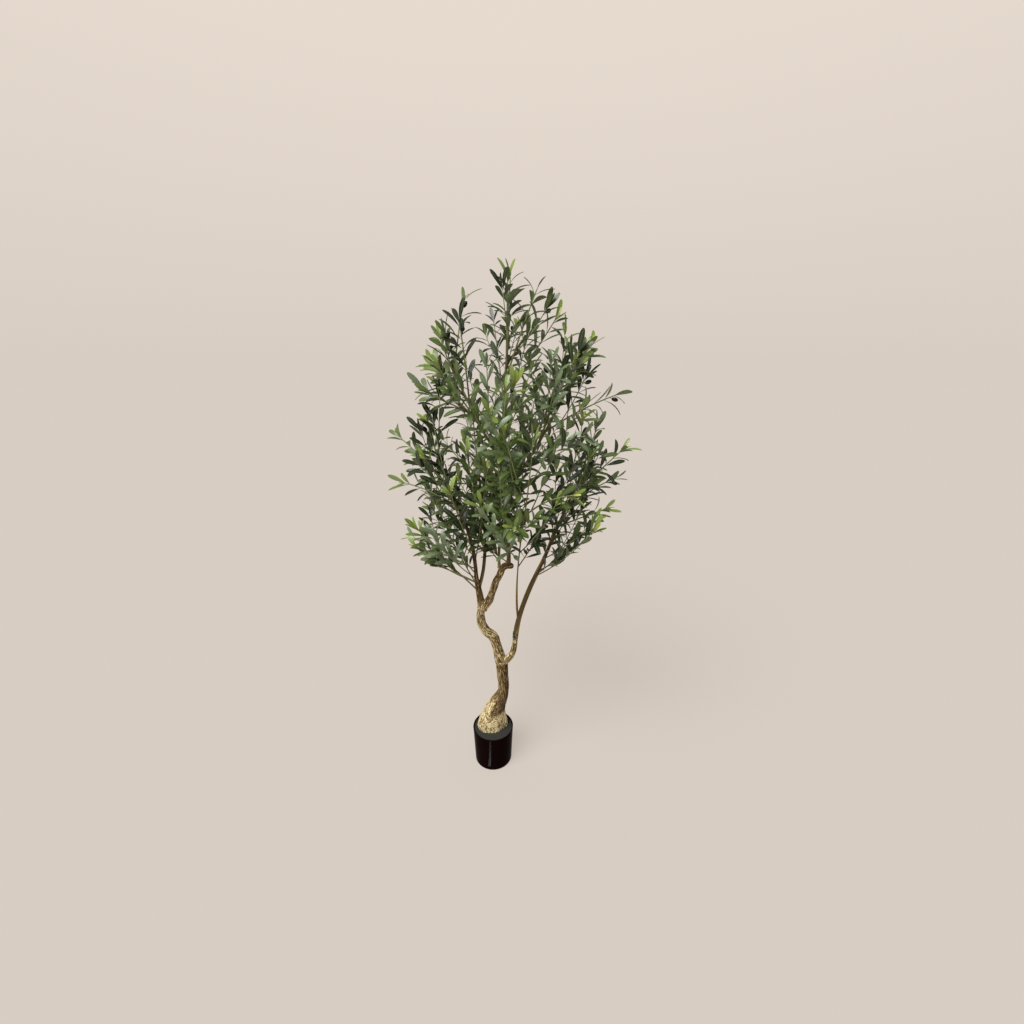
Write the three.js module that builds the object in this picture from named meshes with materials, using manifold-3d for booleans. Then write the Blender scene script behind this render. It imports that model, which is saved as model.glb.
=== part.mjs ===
// Potted artificial olive tree at its real size, in millimetres, with +Z up.
// The origin is the centre of the pot's underside. The tree's front faces -Y and +X is to its right.
import * as THREE from 'three';
import { mergeVertices } from 'three/addons/utils/BufferGeometryUtils.js';
import Module from 'manifold-3d';

const wasm = await Module();
wasm.setup();

// Clearance between neighbouring pieces
const GAP = 0.3;
const TIDY_SIZE = 0.05;
const MERGE_SIZE = 1e-4;

// Pot: a slightly tapered cylinder with a rounded foot and a thin rim
const POT_HEIGHT = 154;
const POT_RIM_RADIUS = 78.5;
const POT_FOOT_RADIUS = 72;
const POT_FOOT_ROUND = 5;
const POT_FOOT_STEPS = 3;
const POT_WALL = 3;
const POT_FLOOR = 4;
const POT_LIP = 0.9;
const POT_SIDES = 44;
const FILL_LEVEL = 148;

// Limbs: axis points with the limb's radius there, each row [x, y, z, radius]
const LIMBS = {
  trunk: [
    [5, 0, FILL_LEVEL + GAP, 21],
    [17, 0, 206, 21],
    [28, -3, 252, 20.5],
    [39.5, -4, 305, 19.4],
    [42, -2, 347, 18.6],
    [39.5, 2, 392, 20],
    [36, 4, 438, 21.8],
    [29, 4, 470, 20.6],
    [12, 3, 527, 16.4],
    [-9, 0, 576, 15.2],
    [-32, -2, 624, 14.6],
    [-38, -1, 660, 13.8],
    [-30, 0, 701, 13.4],
  ],
  upper_arm: [
    [-34, 0, 688, 11.8],
    [-6, 0, 760, 11.4],
    [13, 0, 812, 11.8],
    [30, 0, 841, 12],
    [51, 0, 850, 11.6],
    [70, 0, 847, 10.6],
  ],
  right_bough: [
    [34, 2, 450, 13],
    [58, 0, 466, 12.2],
    [76, -1, 492, 11],
    [85, -2, 535, 9.2],
    [88, -2, 574, 9],
  ],
  left_bough: [
    [-33, -3, 688, 10.4],
    [-40, -4, 735, 11],
    [-46, -6, 776, 9.6],
    [-50, -9, 815, 7],
    [-53, -13, 870, 6.6],
    [-61, -19, 935, 6.1],
    [-80, -25, 1012, 5.4],
    [-112, -32, 1100, 4.4],
  ],
  left_inner_bough: [
    [-43, -2, 758, 5.6],
    [-31, 6, 803, 6.1],
    [-23, 15, 852, 6],
    [-19, 28, 925, 5.6],
    [-24, 62, 1020, 5],
    [-38, 104, 1120, 4.2],
  ],
  centre_stem: [
    [62, 1, 844, 6.6],
    [63, 2, 890, 7.2],
    [59, 2, 985, 7],
    [53, 0, 1096, 6.6],
    [46, 0, 1268, 5.6],
    [50, 0, 1390, 4.6],
    [57, 0, 1500, 4],
  ],
  left_upper_bough: [
    [49, 0, 1190, 4.2],
    [20, 4, 1250, 4.2],
    [-28, 8, 1330, 3.8],
    [-70, 8, 1420, 3.3],
    [-102, 12, 1486, 2.9],
  ],
  right_upper_bough: [
    [53, 0, 1110, 4.6],
    [88, -4, 1165, 4.6],
    [138, -8, 1240, 4.2],
    [196, -8, 1345, 3.6],
  ],
  arm_back_stem: [
    [30, 2, 838, 4.8],
    [30, 30, 900, 4.8],
    [44, 80, 1000, 4.6],
    [72, 132, 1112, 4],
  ],
  right_outer_stem: [
    [88, -2, 562, 7],
    [91, -2, 600, 7.6],
    [97, -2, 648, 8.2],
    [112, -1, 705, 8.6],
    [129, 0, 757, 8.4],
    [152, 2, 812, 7.6],
    [180, 5, 872, 6.6],
    [222, 9, 970, 5.6],
    [266, 10, 1080, 4.4],
  ],
  right_upright_stem: [
    [96, -3, 636, 3.8],
    [92, -13, 692, 3.8],
    [91, -23, 755, 3.6],
    [93, -52, 842, 3.4],
    [100, -102, 960, 3.2],
    [112, -150, 1080, 3],
  ],
};
const LIMB_SIDES = { trunk: 18, upper_arm: 12, right_bough: 12, left_bough: 10 };
const THIN_LIMB_SIDES = 7;
const LIMB_STEPS_PER_ROW = { trunk: 2, upper_arm: 2, right_bough: 2 };
const LIMB_TESTS_PER_ROW = 8;

// Root flare: the foot widens all round, and one buttress runs up the trunk's left front
const FLARE_RISE = 30;
const FLARE_TOP = 240;
const FLARE_POWER = 1.1;
const FLARE_LOBES = 5;
const FLARE_LOBE_DEPTH = 0.07;
const BUTTRESS_RISE = 34;
const BUTTRESS_PEAK = 236;
const BUTTRESS_FOOT_REACH = 180;
const BUTTRESS_TOP_REACH = 105;
const BUTTRESS_HEADING = 1.11 * Math.PI;
const BUTTRESS_SHARPNESS = 2.2;
const UPRIGHT_RINGS_TO = 330;

// Crown: the outermost points of the masses that make its outline on both sides, each [x, y, z]
const SIDE_TIPS = {
  foliage_top: [63, 0, 1798],
  foliage_left_1: [-62, 40, 1733],
  foliage_left_2: [-125, -50, 1636],
  foliage_left_3: [-200, 60, 1523],
  foliage_left_4: [-192, -70, 1444],
  foliage_left_5: [-314, 30, 1321],
  foliage_left_6: [-303, -40, 1174],
  foliage_left_7: [-303, 50, 965],
  foliage_left_8: [-216, -20, 874],
  foliage_right_1: [160, -30, 1755],
  foliage_right_2: [230, 50, 1675],
  foliage_right_3: [323, -20, 1604],
  foliage_right_4: [444, 40, 1441],
  foliage_right_5: [446, -40, 1292],
  foliage_right_6: [461, 60, 1170],
  foliage_right_7: [416, -30, 1079],
  foliage_right_8: [300, 40, 905],
};
// The masses in front and behind follow the crown's own swelling, from low to high
const CROWN_AXIS_X = 68;
const CROWN_BASE = 840;
const CROWN_TOP = 1798;
const CROWN_REACH = 370;
const CROWN_WIDEST = 0.42;
const CROWN_POWER_ABOVE = 2.8;
const CROWN_POWER_BELOW = 6;
const CROWN_UNDERCUT = 0.08;
const CROWN_FRINGE = 30;
const FACES = [
  { name: 'foliage_front', count: 8, heading: -0.5 * Math.PI, low: 1005, high: 1660, reach: 0.83 },
  { name: 'foliage_back', count: 9, heading: 0.5 * Math.PI, low: 965, high: 1680, reach: 0.89 },
];
const FACE_SPREAD = 0.3 * Math.PI;
const FACE_STEP = 2.4;

// A mass's stem: how far it likes to turn from its bough, and what it keeps clear of
const STEM_TURN = 0.2 * Math.PI;
const STEM_TURN_TOLERANCE = 0.16 * Math.PI;
const STEM_PLACES_PER_ROW = 6;
const STEM_FIRST_PLACE = 4;
const STEM_POINTS = 24;
const STEM_FREE_FROM = 8;
const STEM_SPACE_FROM = 3;
const STEM_SHORTEST = 170;
const STEM_LONGEST = 460;
const STEM_SPACING = 30;
const STEM_CLEAR = 8;
const STEM_ROOT_RADIUS = 4.6;
const STEM_TIP_RADIUS = 2.4;
const STEM_BEND = 0.22;
const STEM_SAG_SHARE = 0.25;
const STEM_STEPS = 4;
const END_LEAF_REACH = 84;
const TWIG_SIDES = 4;

// Side shoots of a mass
const SHOOT_SIDES = [0, 2, 1];
const SHOOT_FIRST = 0.34;
const SHOOT_LAST = 0.86;
const SHOOT_ANGLE = 0.27 * Math.PI;
const SHOOT_LENGTH = 165;
const SHOOT_SHORTENING = 85;
const SHOOT_LENGTH_SPREAD = 0.15;
const SHOOT_STEP_SPREAD = 0.5;
const SHOOT_LIFT = 0.16;
const SHOOT_ROOT_RADIUS = 2.2;
const SHOOT_TIP_RADIUS = 2;
const SHOOT_TESTS = [0.5, 0.75, 1];

// Leaves, larger than life because each stands for two or three, and the olives
const LEAF_LENGTH = 94;
const LEAF_WIDTH = 26;
const LEAF_THICKNESS = 2.4;
const LEAF_WIDEST = 0.5;
const LEAF_DROOP = 0.1;
const LEAF_ANGLE = 0.26 * Math.PI;
const LEAF_ROLL = 0.2 * Math.PI;
const STEM_PAIRS = [0.46, 0.72];
const SHOOT_PAIRS = [0.38, 0.7];
const LEAF_TESTS = [0.4, 0.7, 1];
const LEAF_CLEAR = 12;
const TWIG_TESTS = 14;
const END_LEAVES = [
  { at: 0.98, quarter: 0, angle: 0.05 * Math.PI },
  { at: 0.92, quarter: 2, angle: 0.18 * Math.PI },
];
const OLIVE_RADIUS = 8;
const OLIVE_LENGTH = 23;
const OLIVE_PLACE = 0.4;
const OLIVE_OFFSET = 6;
const OLIVE_EVERY = 4;
const SPACE_MARGIN = 4;
const LIMB_MARGIN = 9;

const UP = new THREE.Vector3(0, 0, 1);
const DEPTH = new THREE.Vector3(0, 1, 0);

const gloss = { color: 0x0d0c0c, roughness: 0.08, metalness: 0 };
const cement = { color: 0x3a3c3e, roughness: 0.95, metalness: 0 };
const bark = { color: 0x7a6038, roughness: 0.8, metalness: 0 };
const stemBrown = { color: 0x4a382a, roughness: 0.6, metalness: 0 };
const leafGreen = { color: 0x34472b, roughness: 0.5, metalness: 0 };

// A number from 0 to 1 that depends only on its keys
function chance(a, b = 0, c = 0) {
  const wave = Math.sin(a * 12.9898 + b * 78.233 + c * 37.719) * 43758.5453;
  return wave - Math.floor(wave);
}

function solidOf(geometry) {
  const bare = geometry.index ? geometry.toNonIndexed() : geometry.clone();
  bare.deleteAttribute('normal');
  bare.deleteAttribute('uv');
  const merged = mergeVertices(bare, MERGE_SIZE);
  const vertProperties = merged.attributes.position.array;
  const triVerts = new Uint32Array(merged.index.array);
  return new wasm.Manifold(new wasm.Mesh({ numProp: 3, vertProperties, triVerts }));
}

function geometryOf(solid) {
  const mesh = solid.getMesh();
  const geometry = new THREE.BufferGeometry();
  geometry.setAttribute('position', new THREE.BufferAttribute(mesh.vertProperties, 3));
  geometry.setIndex(new THREE.BufferAttribute(mesh.triVerts, 1));
  geometry.computeVertexNormals();
  return geometry;
}

// The largest body of a solid, with slivers smaller than TIDY_SIZE closed up
function largestBody(solid) {
  const bodies = solid.simplify(TIDY_SIZE).decompose();
  return bodies.reduce((best, body) => (body.volume() > best.volume() ? body : best));
}

// Bends a closed cylinder along a path: place(t) gives the ring's centre, its two axes and
// radius(angle), for t from 0 at the root to 1 at the tip.
function sweep(sides, steps, place) {
  const geometry = new THREE.CylinderGeometry(1, 1, 1, sides, steps);
  const position = geometry.attributes.position;
  const rings = Array.from({ length: steps + 1 }, (_, i) => place(i / steps));
  const vertex = new THREE.Vector3();
  for (let i = 0; i < position.count; i++) {
    vertex.fromBufferAttribute(position, i);
    const ring = rings[Math.round((vertex.y + 0.5) * steps)];
    const angle = Math.atan2(vertex.x, vertex.z);
    const reach = Math.hypot(vertex.x, vertex.z) * ring.radius(angle);
    const point = ring.centre.clone();
    point.addScaledVector(ring.across, reach * Math.cos(angle));
    point.addScaledVector(ring.along, reach * Math.sin(angle));
    position.setXYZ(i, point.x, point.y, point.z);
  }
  return geometry;
}

// How much wider than its core the trunk is at a height and heading
function footSwell(height, angle) {
  const share = Math.max(0, (FLARE_TOP - height) / (FLARE_TOP - FILL_LEVEL));
  const lobes = 1 + FLARE_LOBE_DEPTH * Math.cos(FLARE_LOBES * angle);
  const flare = FLARE_RISE * Math.pow(share, FLARE_POWER) * lobes;
  const reach = height < BUTTRESS_PEAK ? BUTTRESS_FOOT_REACH : BUTTRESS_TOP_REACH;
  const away = Math.min(1, Math.abs(height - BUTTRESS_PEAK) / reach);
  const ridge = Math.pow((1 + Math.cos(angle - BUTTRESS_HEADING)) / 2, BUTTRESS_SHARPNESS);
  return flare + BUTTRESS_RISE * Math.pow(Math.cos((away * Math.PI) / 2), 2) * ridge;
}

// A limb's axis as a smooth curve, with its radius as another
function limbCurves(rows) {
  const axis = new THREE.CatmullRomCurve3(rows.map((r) => new THREE.Vector3(r[0], r[1], r[2])));
  const girth = new THREE.CatmullRomCurve3(rows.map((r) => new THREE.Vector3(r[3], 0, 0)));
  axis.curveType = 'catmullrom';
  girth.curveType = 'catmullrom';
  return { axis, radius: (t) => girth.getPoint(t).x };
}

// A limb's solid, wider all over and longer at its tip by grow
function limbSolid(name, grow = 0) {
  const rows = LIMBS[name];
  const { axis, radius } = limbCurves(rows);
  const sides = LIMB_SIDES[name] ?? THIN_LIMB_SIDES;
  const steps = (rows.length - 1) * (LIMB_STEPS_PER_ROW[name] ?? 1);
  const isTrunk = name === 'trunk';
  const geometry = sweep(sides, steps, (t) => {
    const centre = axis.getPoint(t);
    const heading = axis.getTangent(t);
    if (isTrunk) {
      const upright = Math.max(0, 1 - (centre.z - FILL_LEVEL) / (UPRIGHT_RINGS_TO - FILL_LEVEL));
      heading.lerp(UP, Math.sqrt(upright)).normalize();
    }
    const along = new THREE.Vector3().crossVectors(DEPTH, heading).normalize();
    const across = new THREE.Vector3().crossVectors(heading, along);
    if (t === 1) centre.addScaledVector(heading, grow);
    const swell = isTrunk ? (angle) => footSwell(centre.z, angle) : () => 0;
    return {
      centre,
      across: along,
      along: across,
      radius: (angle) => radius(t) + grow + swell(angle),
    };
  });
  return solidOf(geometry);
}

// Distance of a point from the nearest limb's bark
const limbSamples = Object.values(LIMBS).flatMap((rows) => {
  const { axis, radius } = limbCurves(rows);
  const count = LIMB_TESTS_PER_ROW * (rows.length - 1);
  return Array.from({ length: count + 1 }, (_, i) => ({
    point: axis.getPoint(i / count),
    radius: radius(i / count),
  }));
});
function limbDistance(point) {
  return Math.min(...limbSamples.map((s) => s.point.distanceTo(point) - s.radius));
}

// A twig's curve, a direction across it, and how far its four flat sides are turned about it
function bentTwig(root, middle, tip, spin) {
  const across = new THREE.Vector3().crossVectors(middle.clone().sub(root), tip.clone().sub(root));
  return { curve: new THREE.QuadraticBezierCurve3(root, middle, tip), across: across.normalize(), spin };
}

function straightTwig(root, tip, spin) {
  const across = new THREE.Vector3().crossVectors(tip.clone().sub(root), UP);
  return { curve: new THREE.LineCurve3(root, tip), across: across.normalize(), spin };
}

// A place on a twig: its centre, its heading and the directions that its four sides face
function twigFrame({ curve, across, spin }, t) {
  const heading = curve.getTangent(t);
  const first = across.clone().applyAxisAngle(heading, spin);
  const second = new THREE.Vector3().crossVectors(heading, first);
  const sides = [first, second, first.clone().negate(), second.clone().negate()];
  return { centre: curve.getPoint(t), heading, sides };
}

function twigSolid(twig, steps, rootRadius, tipRadius) {
  const geometry = sweep(TWIG_SIDES, steps, (t) => {
    const { centre, sides } = twigFrame(twig, t);
    const radius = THREE.MathUtils.lerp(rootRadius, tipRadius, t);
    const across = sides[0].clone().add(sides[1]).normalize();
    const along = sides[1].clone().add(sides[2]).normalize();
    return { centre, across, along, radius: () => radius };
  });
  return solidOf(geometry);
}

// The crown's reach from its axis at a height
function crownReach(height) {
  const share = (height - CROWN_BASE) / (CROWN_TOP - CROWN_BASE);
  const above = share > CROWN_WIDEST;
  const away = Math.abs(share - CROWN_WIDEST) / (above ? 1 - CROWN_WIDEST : CROWN_WIDEST + CROWN_UNDERCUT);
  return CROWN_REACH * (1 - Math.pow(away, above ? CROWN_POWER_ABOVE : CROWN_POWER_BELOW));
}

function crownTips() {
  const tips = Object.entries(SIDE_TIPS).map(([name, at]) => ({ name, tip: new THREE.Vector3(...at) }));
  for (const face of FACES) {
    for (let i = 0; i < face.count; i++) {
      const height = THREE.MathUtils.lerp(face.low, face.high, i / (face.count - 1));
      const heading = face.heading + FACE_SPREAD * Math.sin(FACE_STEP * i);
      const reach = crownReach(height) * face.reach;
      const tip = new THREE.Vector3(CROWN_AXIS_X, 0, height);
      tip.x += reach * Math.cos(heading);
      tip.y += reach * Math.sin(heading);
      tips.push({ name: `${face.name}_${i + 1}`, tip });
    }
  }
  return tips;
}

// Chooses where on the boughs each mass's stem starts: the nearest place that it can rise from at a
// natural angle, with no limb or other stem in its way.
function growStems() {
  const bearers = Object.keys(LIMBS).filter((name) => name !== 'trunk' && name !== 'right_bough');
  const stems = [];
  crownTips().forEach(({ name, tip }, key) => {
    const starts = bearers.flatMap((bough) => {
      const { axis } = limbCurves(LIMBS[bough]);
      const count = STEM_PLACES_PER_ROW * (LIMBS[bough].length - 1);
      return Array.from({ length: count - STEM_FIRST_PLACE }, (_, i) => {
        const t = (i + 1 + STEM_FIRST_PLACE) / count;
        const root = axis.getPoint(t);
        const chord = tip.clone().sub(root);
        const turn = chord.angleTo(axis.getTangent(t));
        const strain = Math.max(0, turn - STEM_TURN) / STEM_TURN_TOLERANCE;
        const length = chord.length();
        return { bough, root, length, cost: length * (1 + strain * strain) };
      });
    });
    starts.sort((a, b) => a.cost - b.cost);
    for (const start of starts.filter((s) => s.length > STEM_SHORTEST && s.length < STEM_LONGEST)) {
      const reach = tip.clone().sub(start.root);
      const end = tip.clone().addScaledVector(reach.normalize(), -END_LEAF_REACH);
      const chord = end.clone().sub(start.root);
      const lift = UP.clone().addScaledVector(chord, -UP.dot(chord) / chord.lengthSq());
      const middle = start.root.clone().addScaledVector(chord, 0.5);
      middle.addScaledVector(lift, chord.length() * STEM_BEND * (chance(key, 1) - STEM_SAG_SHARE));
      const twig = bentTwig(start.root, middle, end, 2 * Math.PI * chance(key, 3));
      const points = twig.curve.getPoints(STEM_POINTS);
      const free = points.slice(STEM_FREE_FROM);
      const crowded = stems.some((s) => s.root.distanceTo(start.root) < STEM_SPACING);
      const blocked =
        free.some((p) => limbDistance(p) < STEM_CLEAR) ||
        stems.some((s) => points.some((p) => s.points.some((q) => q.distanceTo(p) < STEM_CLEAR)));
      if (crowded || blocked) continue;
      stems.push({ name, key, twig, points, root: start.root, bough: start.bough });
      return;
    }
    throw new Error(`${name} finds no place on a bough`);
  });
  return stems;
}

function nearness(stem, point) {
  return Math.min(...stem.points.slice(STEM_SPACE_FROM).map((p) => p.distanceTo(point)));
}

// True where a point lies inside the crown's outline and in the stem's own space, clear of every limb
function inSpace(stems, stem, point) {
  const reach = Math.hypot(point.x - CROWN_AXIS_X, point.y);
  if (point.z < CROWN_BASE || reach > crownReach(point.z) + CROWN_FRINGE) return false;
  if (limbDistance(point) < LIMB_MARGIN) return false;
  const own = nearness(stem, point) + SPACE_MARGIN;
  return stems.every((other) => other === stem || nearness(other, point) > own);
}

// A leaf: a flattened double cone of six faces, from its root to its tip, with its two edges and the
// keel under it at its widest place
function leafGeometry({ root, heading, face }) {
  const geometry = new THREE.SphereGeometry(1, 3, 2);
  const position = geometry.attributes.position;
  const across = new THREE.Vector3().crossVectors(face, heading);
  for (let i = 0; i < position.count; i++) {
    const end = Math.round(position.getY(i));
    const share = end === 0 ? LEAF_WIDEST : 0.5 * (1 + end);
    const keel = LEAF_THICKNESS * Math.min(0, position.getX(i));
    const point = root.clone().addScaledVector(heading, share * LEAF_LENGTH);
    point.addScaledVector(across, 0.5 * LEAF_WIDTH * Math.sign(Math.round(position.getZ(i))));
    point.addScaledVector(face, keel - LEAF_DROOP * LEAF_LENGTH * share * share);
    position.setXYZ(i, point.x, point.y, point.z);
  }
  return geometry;
}

// Where a leaf or shoot leaves one side of a twig: its root, its heading and the way its face looks
function twigPlace(twig, t, quarter, angle) {
  const { centre, heading, sides } = twigFrame(twig, t);
  const leaning = heading.clone().multiplyScalar(Math.cos(angle));
  leaning.addScaledVector(sides[quarter % TWIG_SIDES], Math.sin(angle));
  const face = heading.clone().addScaledVector(leaning, -heading.dot(leaning)).normalize();
  face.applyAxisAngle(leaning, quarter % 2 === 0 ? LEAF_ROLL : -LEAF_ROLL);
  return { root: centre, heading: leaning, face };
}

// Points along a leaf that have to be clear of everything else
function leafTests({ root, heading }) {
  return LEAF_TESTS.map((share) => root.clone().addScaledVector(heading, share * LEAF_LENGTH));
}

// The leaves of a twig that fit: opposite pairs, each turned a quarter from the last unless more leaves
// fit without that, and two at the twig's end
function twigLeaves(twig, pairs, fits) {
  const leafFits = (leaf) => leafTests(leaf).every(fits);
  const pairAt = (t, quarter) => [quarter, quarter + 2].map((side) => twigPlace(twig, t, side, LEAF_ANGLE));
  const paired = pairs.map((t, i) => {
    const choices = [i, i + 1].map((quarter) => pairAt(t, quarter).filter(leafFits));
    return choices[1].length > choices[0].length ? choices[1] : choices[0];
  });
  const ends = END_LEAVES.map((end) => twigPlace(twig, end.at, end.quarter + pairs.length, end.angle));
  return [...paired.flat(), ...ends.filter(leafFits)];
}

function oliveGeometry(twig) {
  const { centre, heading, sides } = twigFrame(twig, OLIVE_PLACE);
  centre.addScaledVector(sides[0], OLIVE_OFFSET);
  const geometry = new THREE.IcosahedronGeometry(1);
  geometry.scale(OLIVE_RADIUS, OLIVE_RADIUS, OLIVE_LENGTH / 2);
  geometry.applyQuaternion(new THREE.Quaternion().setFromUnitVectors(UP, heading));
  return geometry.translate(centre.x, centre.y, centre.z);
}

function shootOf(stem, i, quarter) {
  const step = (i + SHOOT_STEP_SPREAD * chance(stem.key, i, 2)) / SHOOT_SIDES.length;
  const t = THREE.MathUtils.lerp(SHOOT_FIRST, SHOOT_LAST, step);
  const { root, heading } = twigPlace(stem.twig, t, quarter, SHOOT_ANGLE);
  const spread = SHOOT_LENGTH_SPREAD * (2 * chance(stem.key, i, 4) - 1);
  const length = (SHOOT_LENGTH - SHOOT_SHORTENING * t) * (1 + spread);
  const tip = root.clone().addScaledVector(heading, length).addScaledVector(UP, SHOOT_LIFT * length);
  return straightTwig(root, tip, 2 * Math.PI * chance(stem.key, i, 5));
}

// The side shoots of a stem, each on its own side of it or the next side where it fits, and left out
// where it fits on none
function growShoots(stem, fits) {
  return SHOOT_SIDES.flatMap((side, i) => {
    const choices = Array.from({ length: TWIG_SIDES }, (_, turn) => shootOf(stem, i, side + turn));
    const fitting = choices.find((shoot) => SHOOT_TESTS.every((t) => fits(shoot.curve.getPoint(t))));
    return fitting ? [fitting] : [];
  });
}

// One mass of foliage: a stem, its shoots, their leaves and on some masses an olive, fused. A leaf keeps
// to the mass's space and clear of what grows from its other twigs.
function massSolid(stems, stem) {
  const ownSpace = (point) => inSpace(stems, stem, point);
  const shoots = growShoots(stem, ownSpace);
  const twigs = [stem.twig, ...shoots];
  const taken = twigs.map((twig) => twig.curve.getPoints(TWIG_TESTS).slice(2));
  const leaves = twigs.flatMap((twig, i) => {
    const others = taken.filter((_, k) => k !== i).flat();
    const clear = (point) => others.every((other) => other.distanceTo(point) > LEAF_CLEAR);
    const fits = (point) => ownSpace(point) && clear(point);
    const grown = twigLeaves(twig, i === 0 ? STEM_PAIRS : SHOOT_PAIRS, fits);
    taken[i].push(...grown.flatMap(leafTests));
    return grown;
  });
  const olives = stem.key % OLIVE_EVERY === 0 ? shoots.slice(0, 1).map(oliveGeometry) : [];
  const pieces = [
    twigSolid(stem.twig, STEM_STEPS, STEM_ROOT_RADIUS, STEM_TIP_RADIUS),
    ...shoots.map((shoot) => twigSolid(shoot, 1, SHOOT_ROOT_RADIUS, SHOOT_TIP_RADIUS)),
    ...leaves.map((leaf) => solidOf(leafGeometry(leaf))),
    ...olives.map(solidOf),
  ];
  const whole = pieces.reduce((sum, piece) => sum.add(piece));
  return largestBody(whole.subtract(limbSolid(stem.bough, GAP)));
}

// A closed profile [radius, height] turned about the pot's axis
function turned(profile) {
  const geometry = new THREE.LatheGeometry(profile.map((p) => new THREE.Vector2(...p)), POT_SIDES);
  return geometry.rotateX(Math.PI / 2);
}

function potSideRadius(height) {
  return THREE.MathUtils.lerp(POT_FOOT_RADIUS, POT_RIM_RADIUS, height / POT_HEIGHT);
}

function potGeometry() {
  const centre = potSideRadius(POT_FOOT_ROUND) - POT_FOOT_ROUND;
  const foot = Array.from({ length: POT_FOOT_STEPS + 1 }, (_, i) => {
    const angle = ((i / POT_FOOT_STEPS) * Math.PI) / 2;
    return [centre + POT_FOOT_ROUND * Math.sin(angle), POT_FOOT_ROUND * (1 - Math.cos(angle))];
  });
  return turned([
    [0, 0],
    ...foot,
    [potSideRadius(POT_HEIGHT - POT_LIP), POT_HEIGHT - POT_LIP],
    [POT_RIM_RADIUS - POT_LIP, POT_HEIGHT],
    [POT_RIM_RADIUS - POT_WALL + POT_LIP, POT_HEIGHT],
    [potSideRadius(POT_HEIGHT - POT_LIP) - POT_WALL, POT_HEIGHT - POT_LIP],
    [potSideRadius(POT_FLOOR) - POT_WALL, POT_FLOOR],
    [0, POT_FLOOR],
  ]);
}

function fillGeometry() {
  const floor = POT_FLOOR + GAP;
  return turned([
    [0, floor],
    [potSideRadius(floor) - POT_WALL - GAP, floor],
    [potSideRadius(FILL_LEVEL) - POT_WALL - GAP, FILL_LEVEL],
    [0, FILL_LEVEL],
  ]);
}

// What each limb grows out of, and is cut clear of
const GROWS_FROM = {
  trunk: [],
  upper_arm: ['trunk'],
  right_bough: ['trunk'],
  left_bough: ['trunk', 'upper_arm'],
  left_inner_bough: ['left_bough'],
  centre_stem: ['upper_arm'],
  left_upper_bough: ['centre_stem'],
  right_upper_bough: ['centre_stem'],
  arm_back_stem: ['upper_arm'],
  right_outer_stem: ['right_bough'],
  right_upright_stem: ['right_outer_stem'],
};
const BARKED = ['trunk', 'upper_arm', 'right_bough'];

const tree = new THREE.Group();
function addPart(name, geometry, finish) {
  const mesh = new THREE.Mesh(geometry, new THREE.MeshStandardMaterial(finish));
  mesh.name = name;
  tree.add(mesh);
}

addPart('pot', potGeometry(), gloss);
addPart('pot_fill', fillGeometry(), cement);
for (const [name, parents] of Object.entries(GROWS_FROM)) {
  const cut = parents.reduce((solid, parent) => solid.subtract(limbSolid(parent, GAP)), limbSolid(name));
  addPart(name, geometryOf(largestBody(cut)), BARKED.includes(name) ? bark : stemBrown);
}
const stems = growStems();
for (const stem of stems) {
  addPart(stem.name, geometryOf(massSolid(stems, stem)), leafGreen);
}

export default tree;
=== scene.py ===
"""Potted artificial olive tree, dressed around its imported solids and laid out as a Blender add-on.

Sizes are in metres with +Z up. The origin is the centre of the pot's underside, the tree's front faces -Y
and +X is to its right.
"""
import functools
import itertools
import math

import bpy
import numpy as np
from bpy.props import FloatProperty, FloatVectorProperty, IntProperty, PointerProperty
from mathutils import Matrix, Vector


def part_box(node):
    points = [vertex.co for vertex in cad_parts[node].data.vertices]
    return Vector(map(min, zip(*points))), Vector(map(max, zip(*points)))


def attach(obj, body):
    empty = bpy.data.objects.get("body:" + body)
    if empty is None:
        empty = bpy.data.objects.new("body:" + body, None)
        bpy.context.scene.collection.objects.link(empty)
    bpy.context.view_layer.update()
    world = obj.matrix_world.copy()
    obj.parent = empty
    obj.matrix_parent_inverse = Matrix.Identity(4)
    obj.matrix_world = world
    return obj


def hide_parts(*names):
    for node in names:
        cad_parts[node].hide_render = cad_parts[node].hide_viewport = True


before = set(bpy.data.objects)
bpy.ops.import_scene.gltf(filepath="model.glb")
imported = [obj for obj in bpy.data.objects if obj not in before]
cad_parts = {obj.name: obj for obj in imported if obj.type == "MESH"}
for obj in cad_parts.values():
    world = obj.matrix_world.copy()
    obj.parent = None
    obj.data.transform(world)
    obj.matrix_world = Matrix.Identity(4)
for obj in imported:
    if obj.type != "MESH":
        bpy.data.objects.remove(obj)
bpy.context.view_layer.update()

bl_info = {
    "name": "Potted olive tree",
    "version": (1, 0, 0),
    "blender": (4, 5, 0),
    "location": "View3D > Sidebar > Olive tree",
    "description": "Dresses an artificial olive tree in a pot with bark, twigs, leaves and olives",
    "category": "Object",
}

MM = 0.001
UP = np.array([0.0, 0.0, 1.0])
DEPTH = np.array([0.0, 1.0, 0.0])
TURN = 2.0 * math.pi
QUARTER_TURN = 0.5 * math.pi
GOLDEN_TURN = TURN * 0.381966
TINY = 1e-9
HEADING_STEP = 1e-4
BAKE_MAP = "OFBake"
MASSES = sorted(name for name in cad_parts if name.startswith("foliage"))
POT_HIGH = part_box("pot")[1]
FILL_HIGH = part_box("pot_fill")[1]

# Chance and noise: the sine's weight for each key, its scale, and how layers of noise follow each other
CHANCE_WEIGHTS = (12.9898, 78.233, 37.719)
CHANCE_SCALE = 43758.5453
LAYER_FINER = 2.03
LAYER_SHIFT = 7.3
# What keeps the chances of shoots, leaves, olives and sprays apart for each seed
SHOOT_KEYS = 100.0
LEAF_KEYS = 300.0
OLIVE_KEYS = 500.0
SPRAY_KEYS = 700.0

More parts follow.
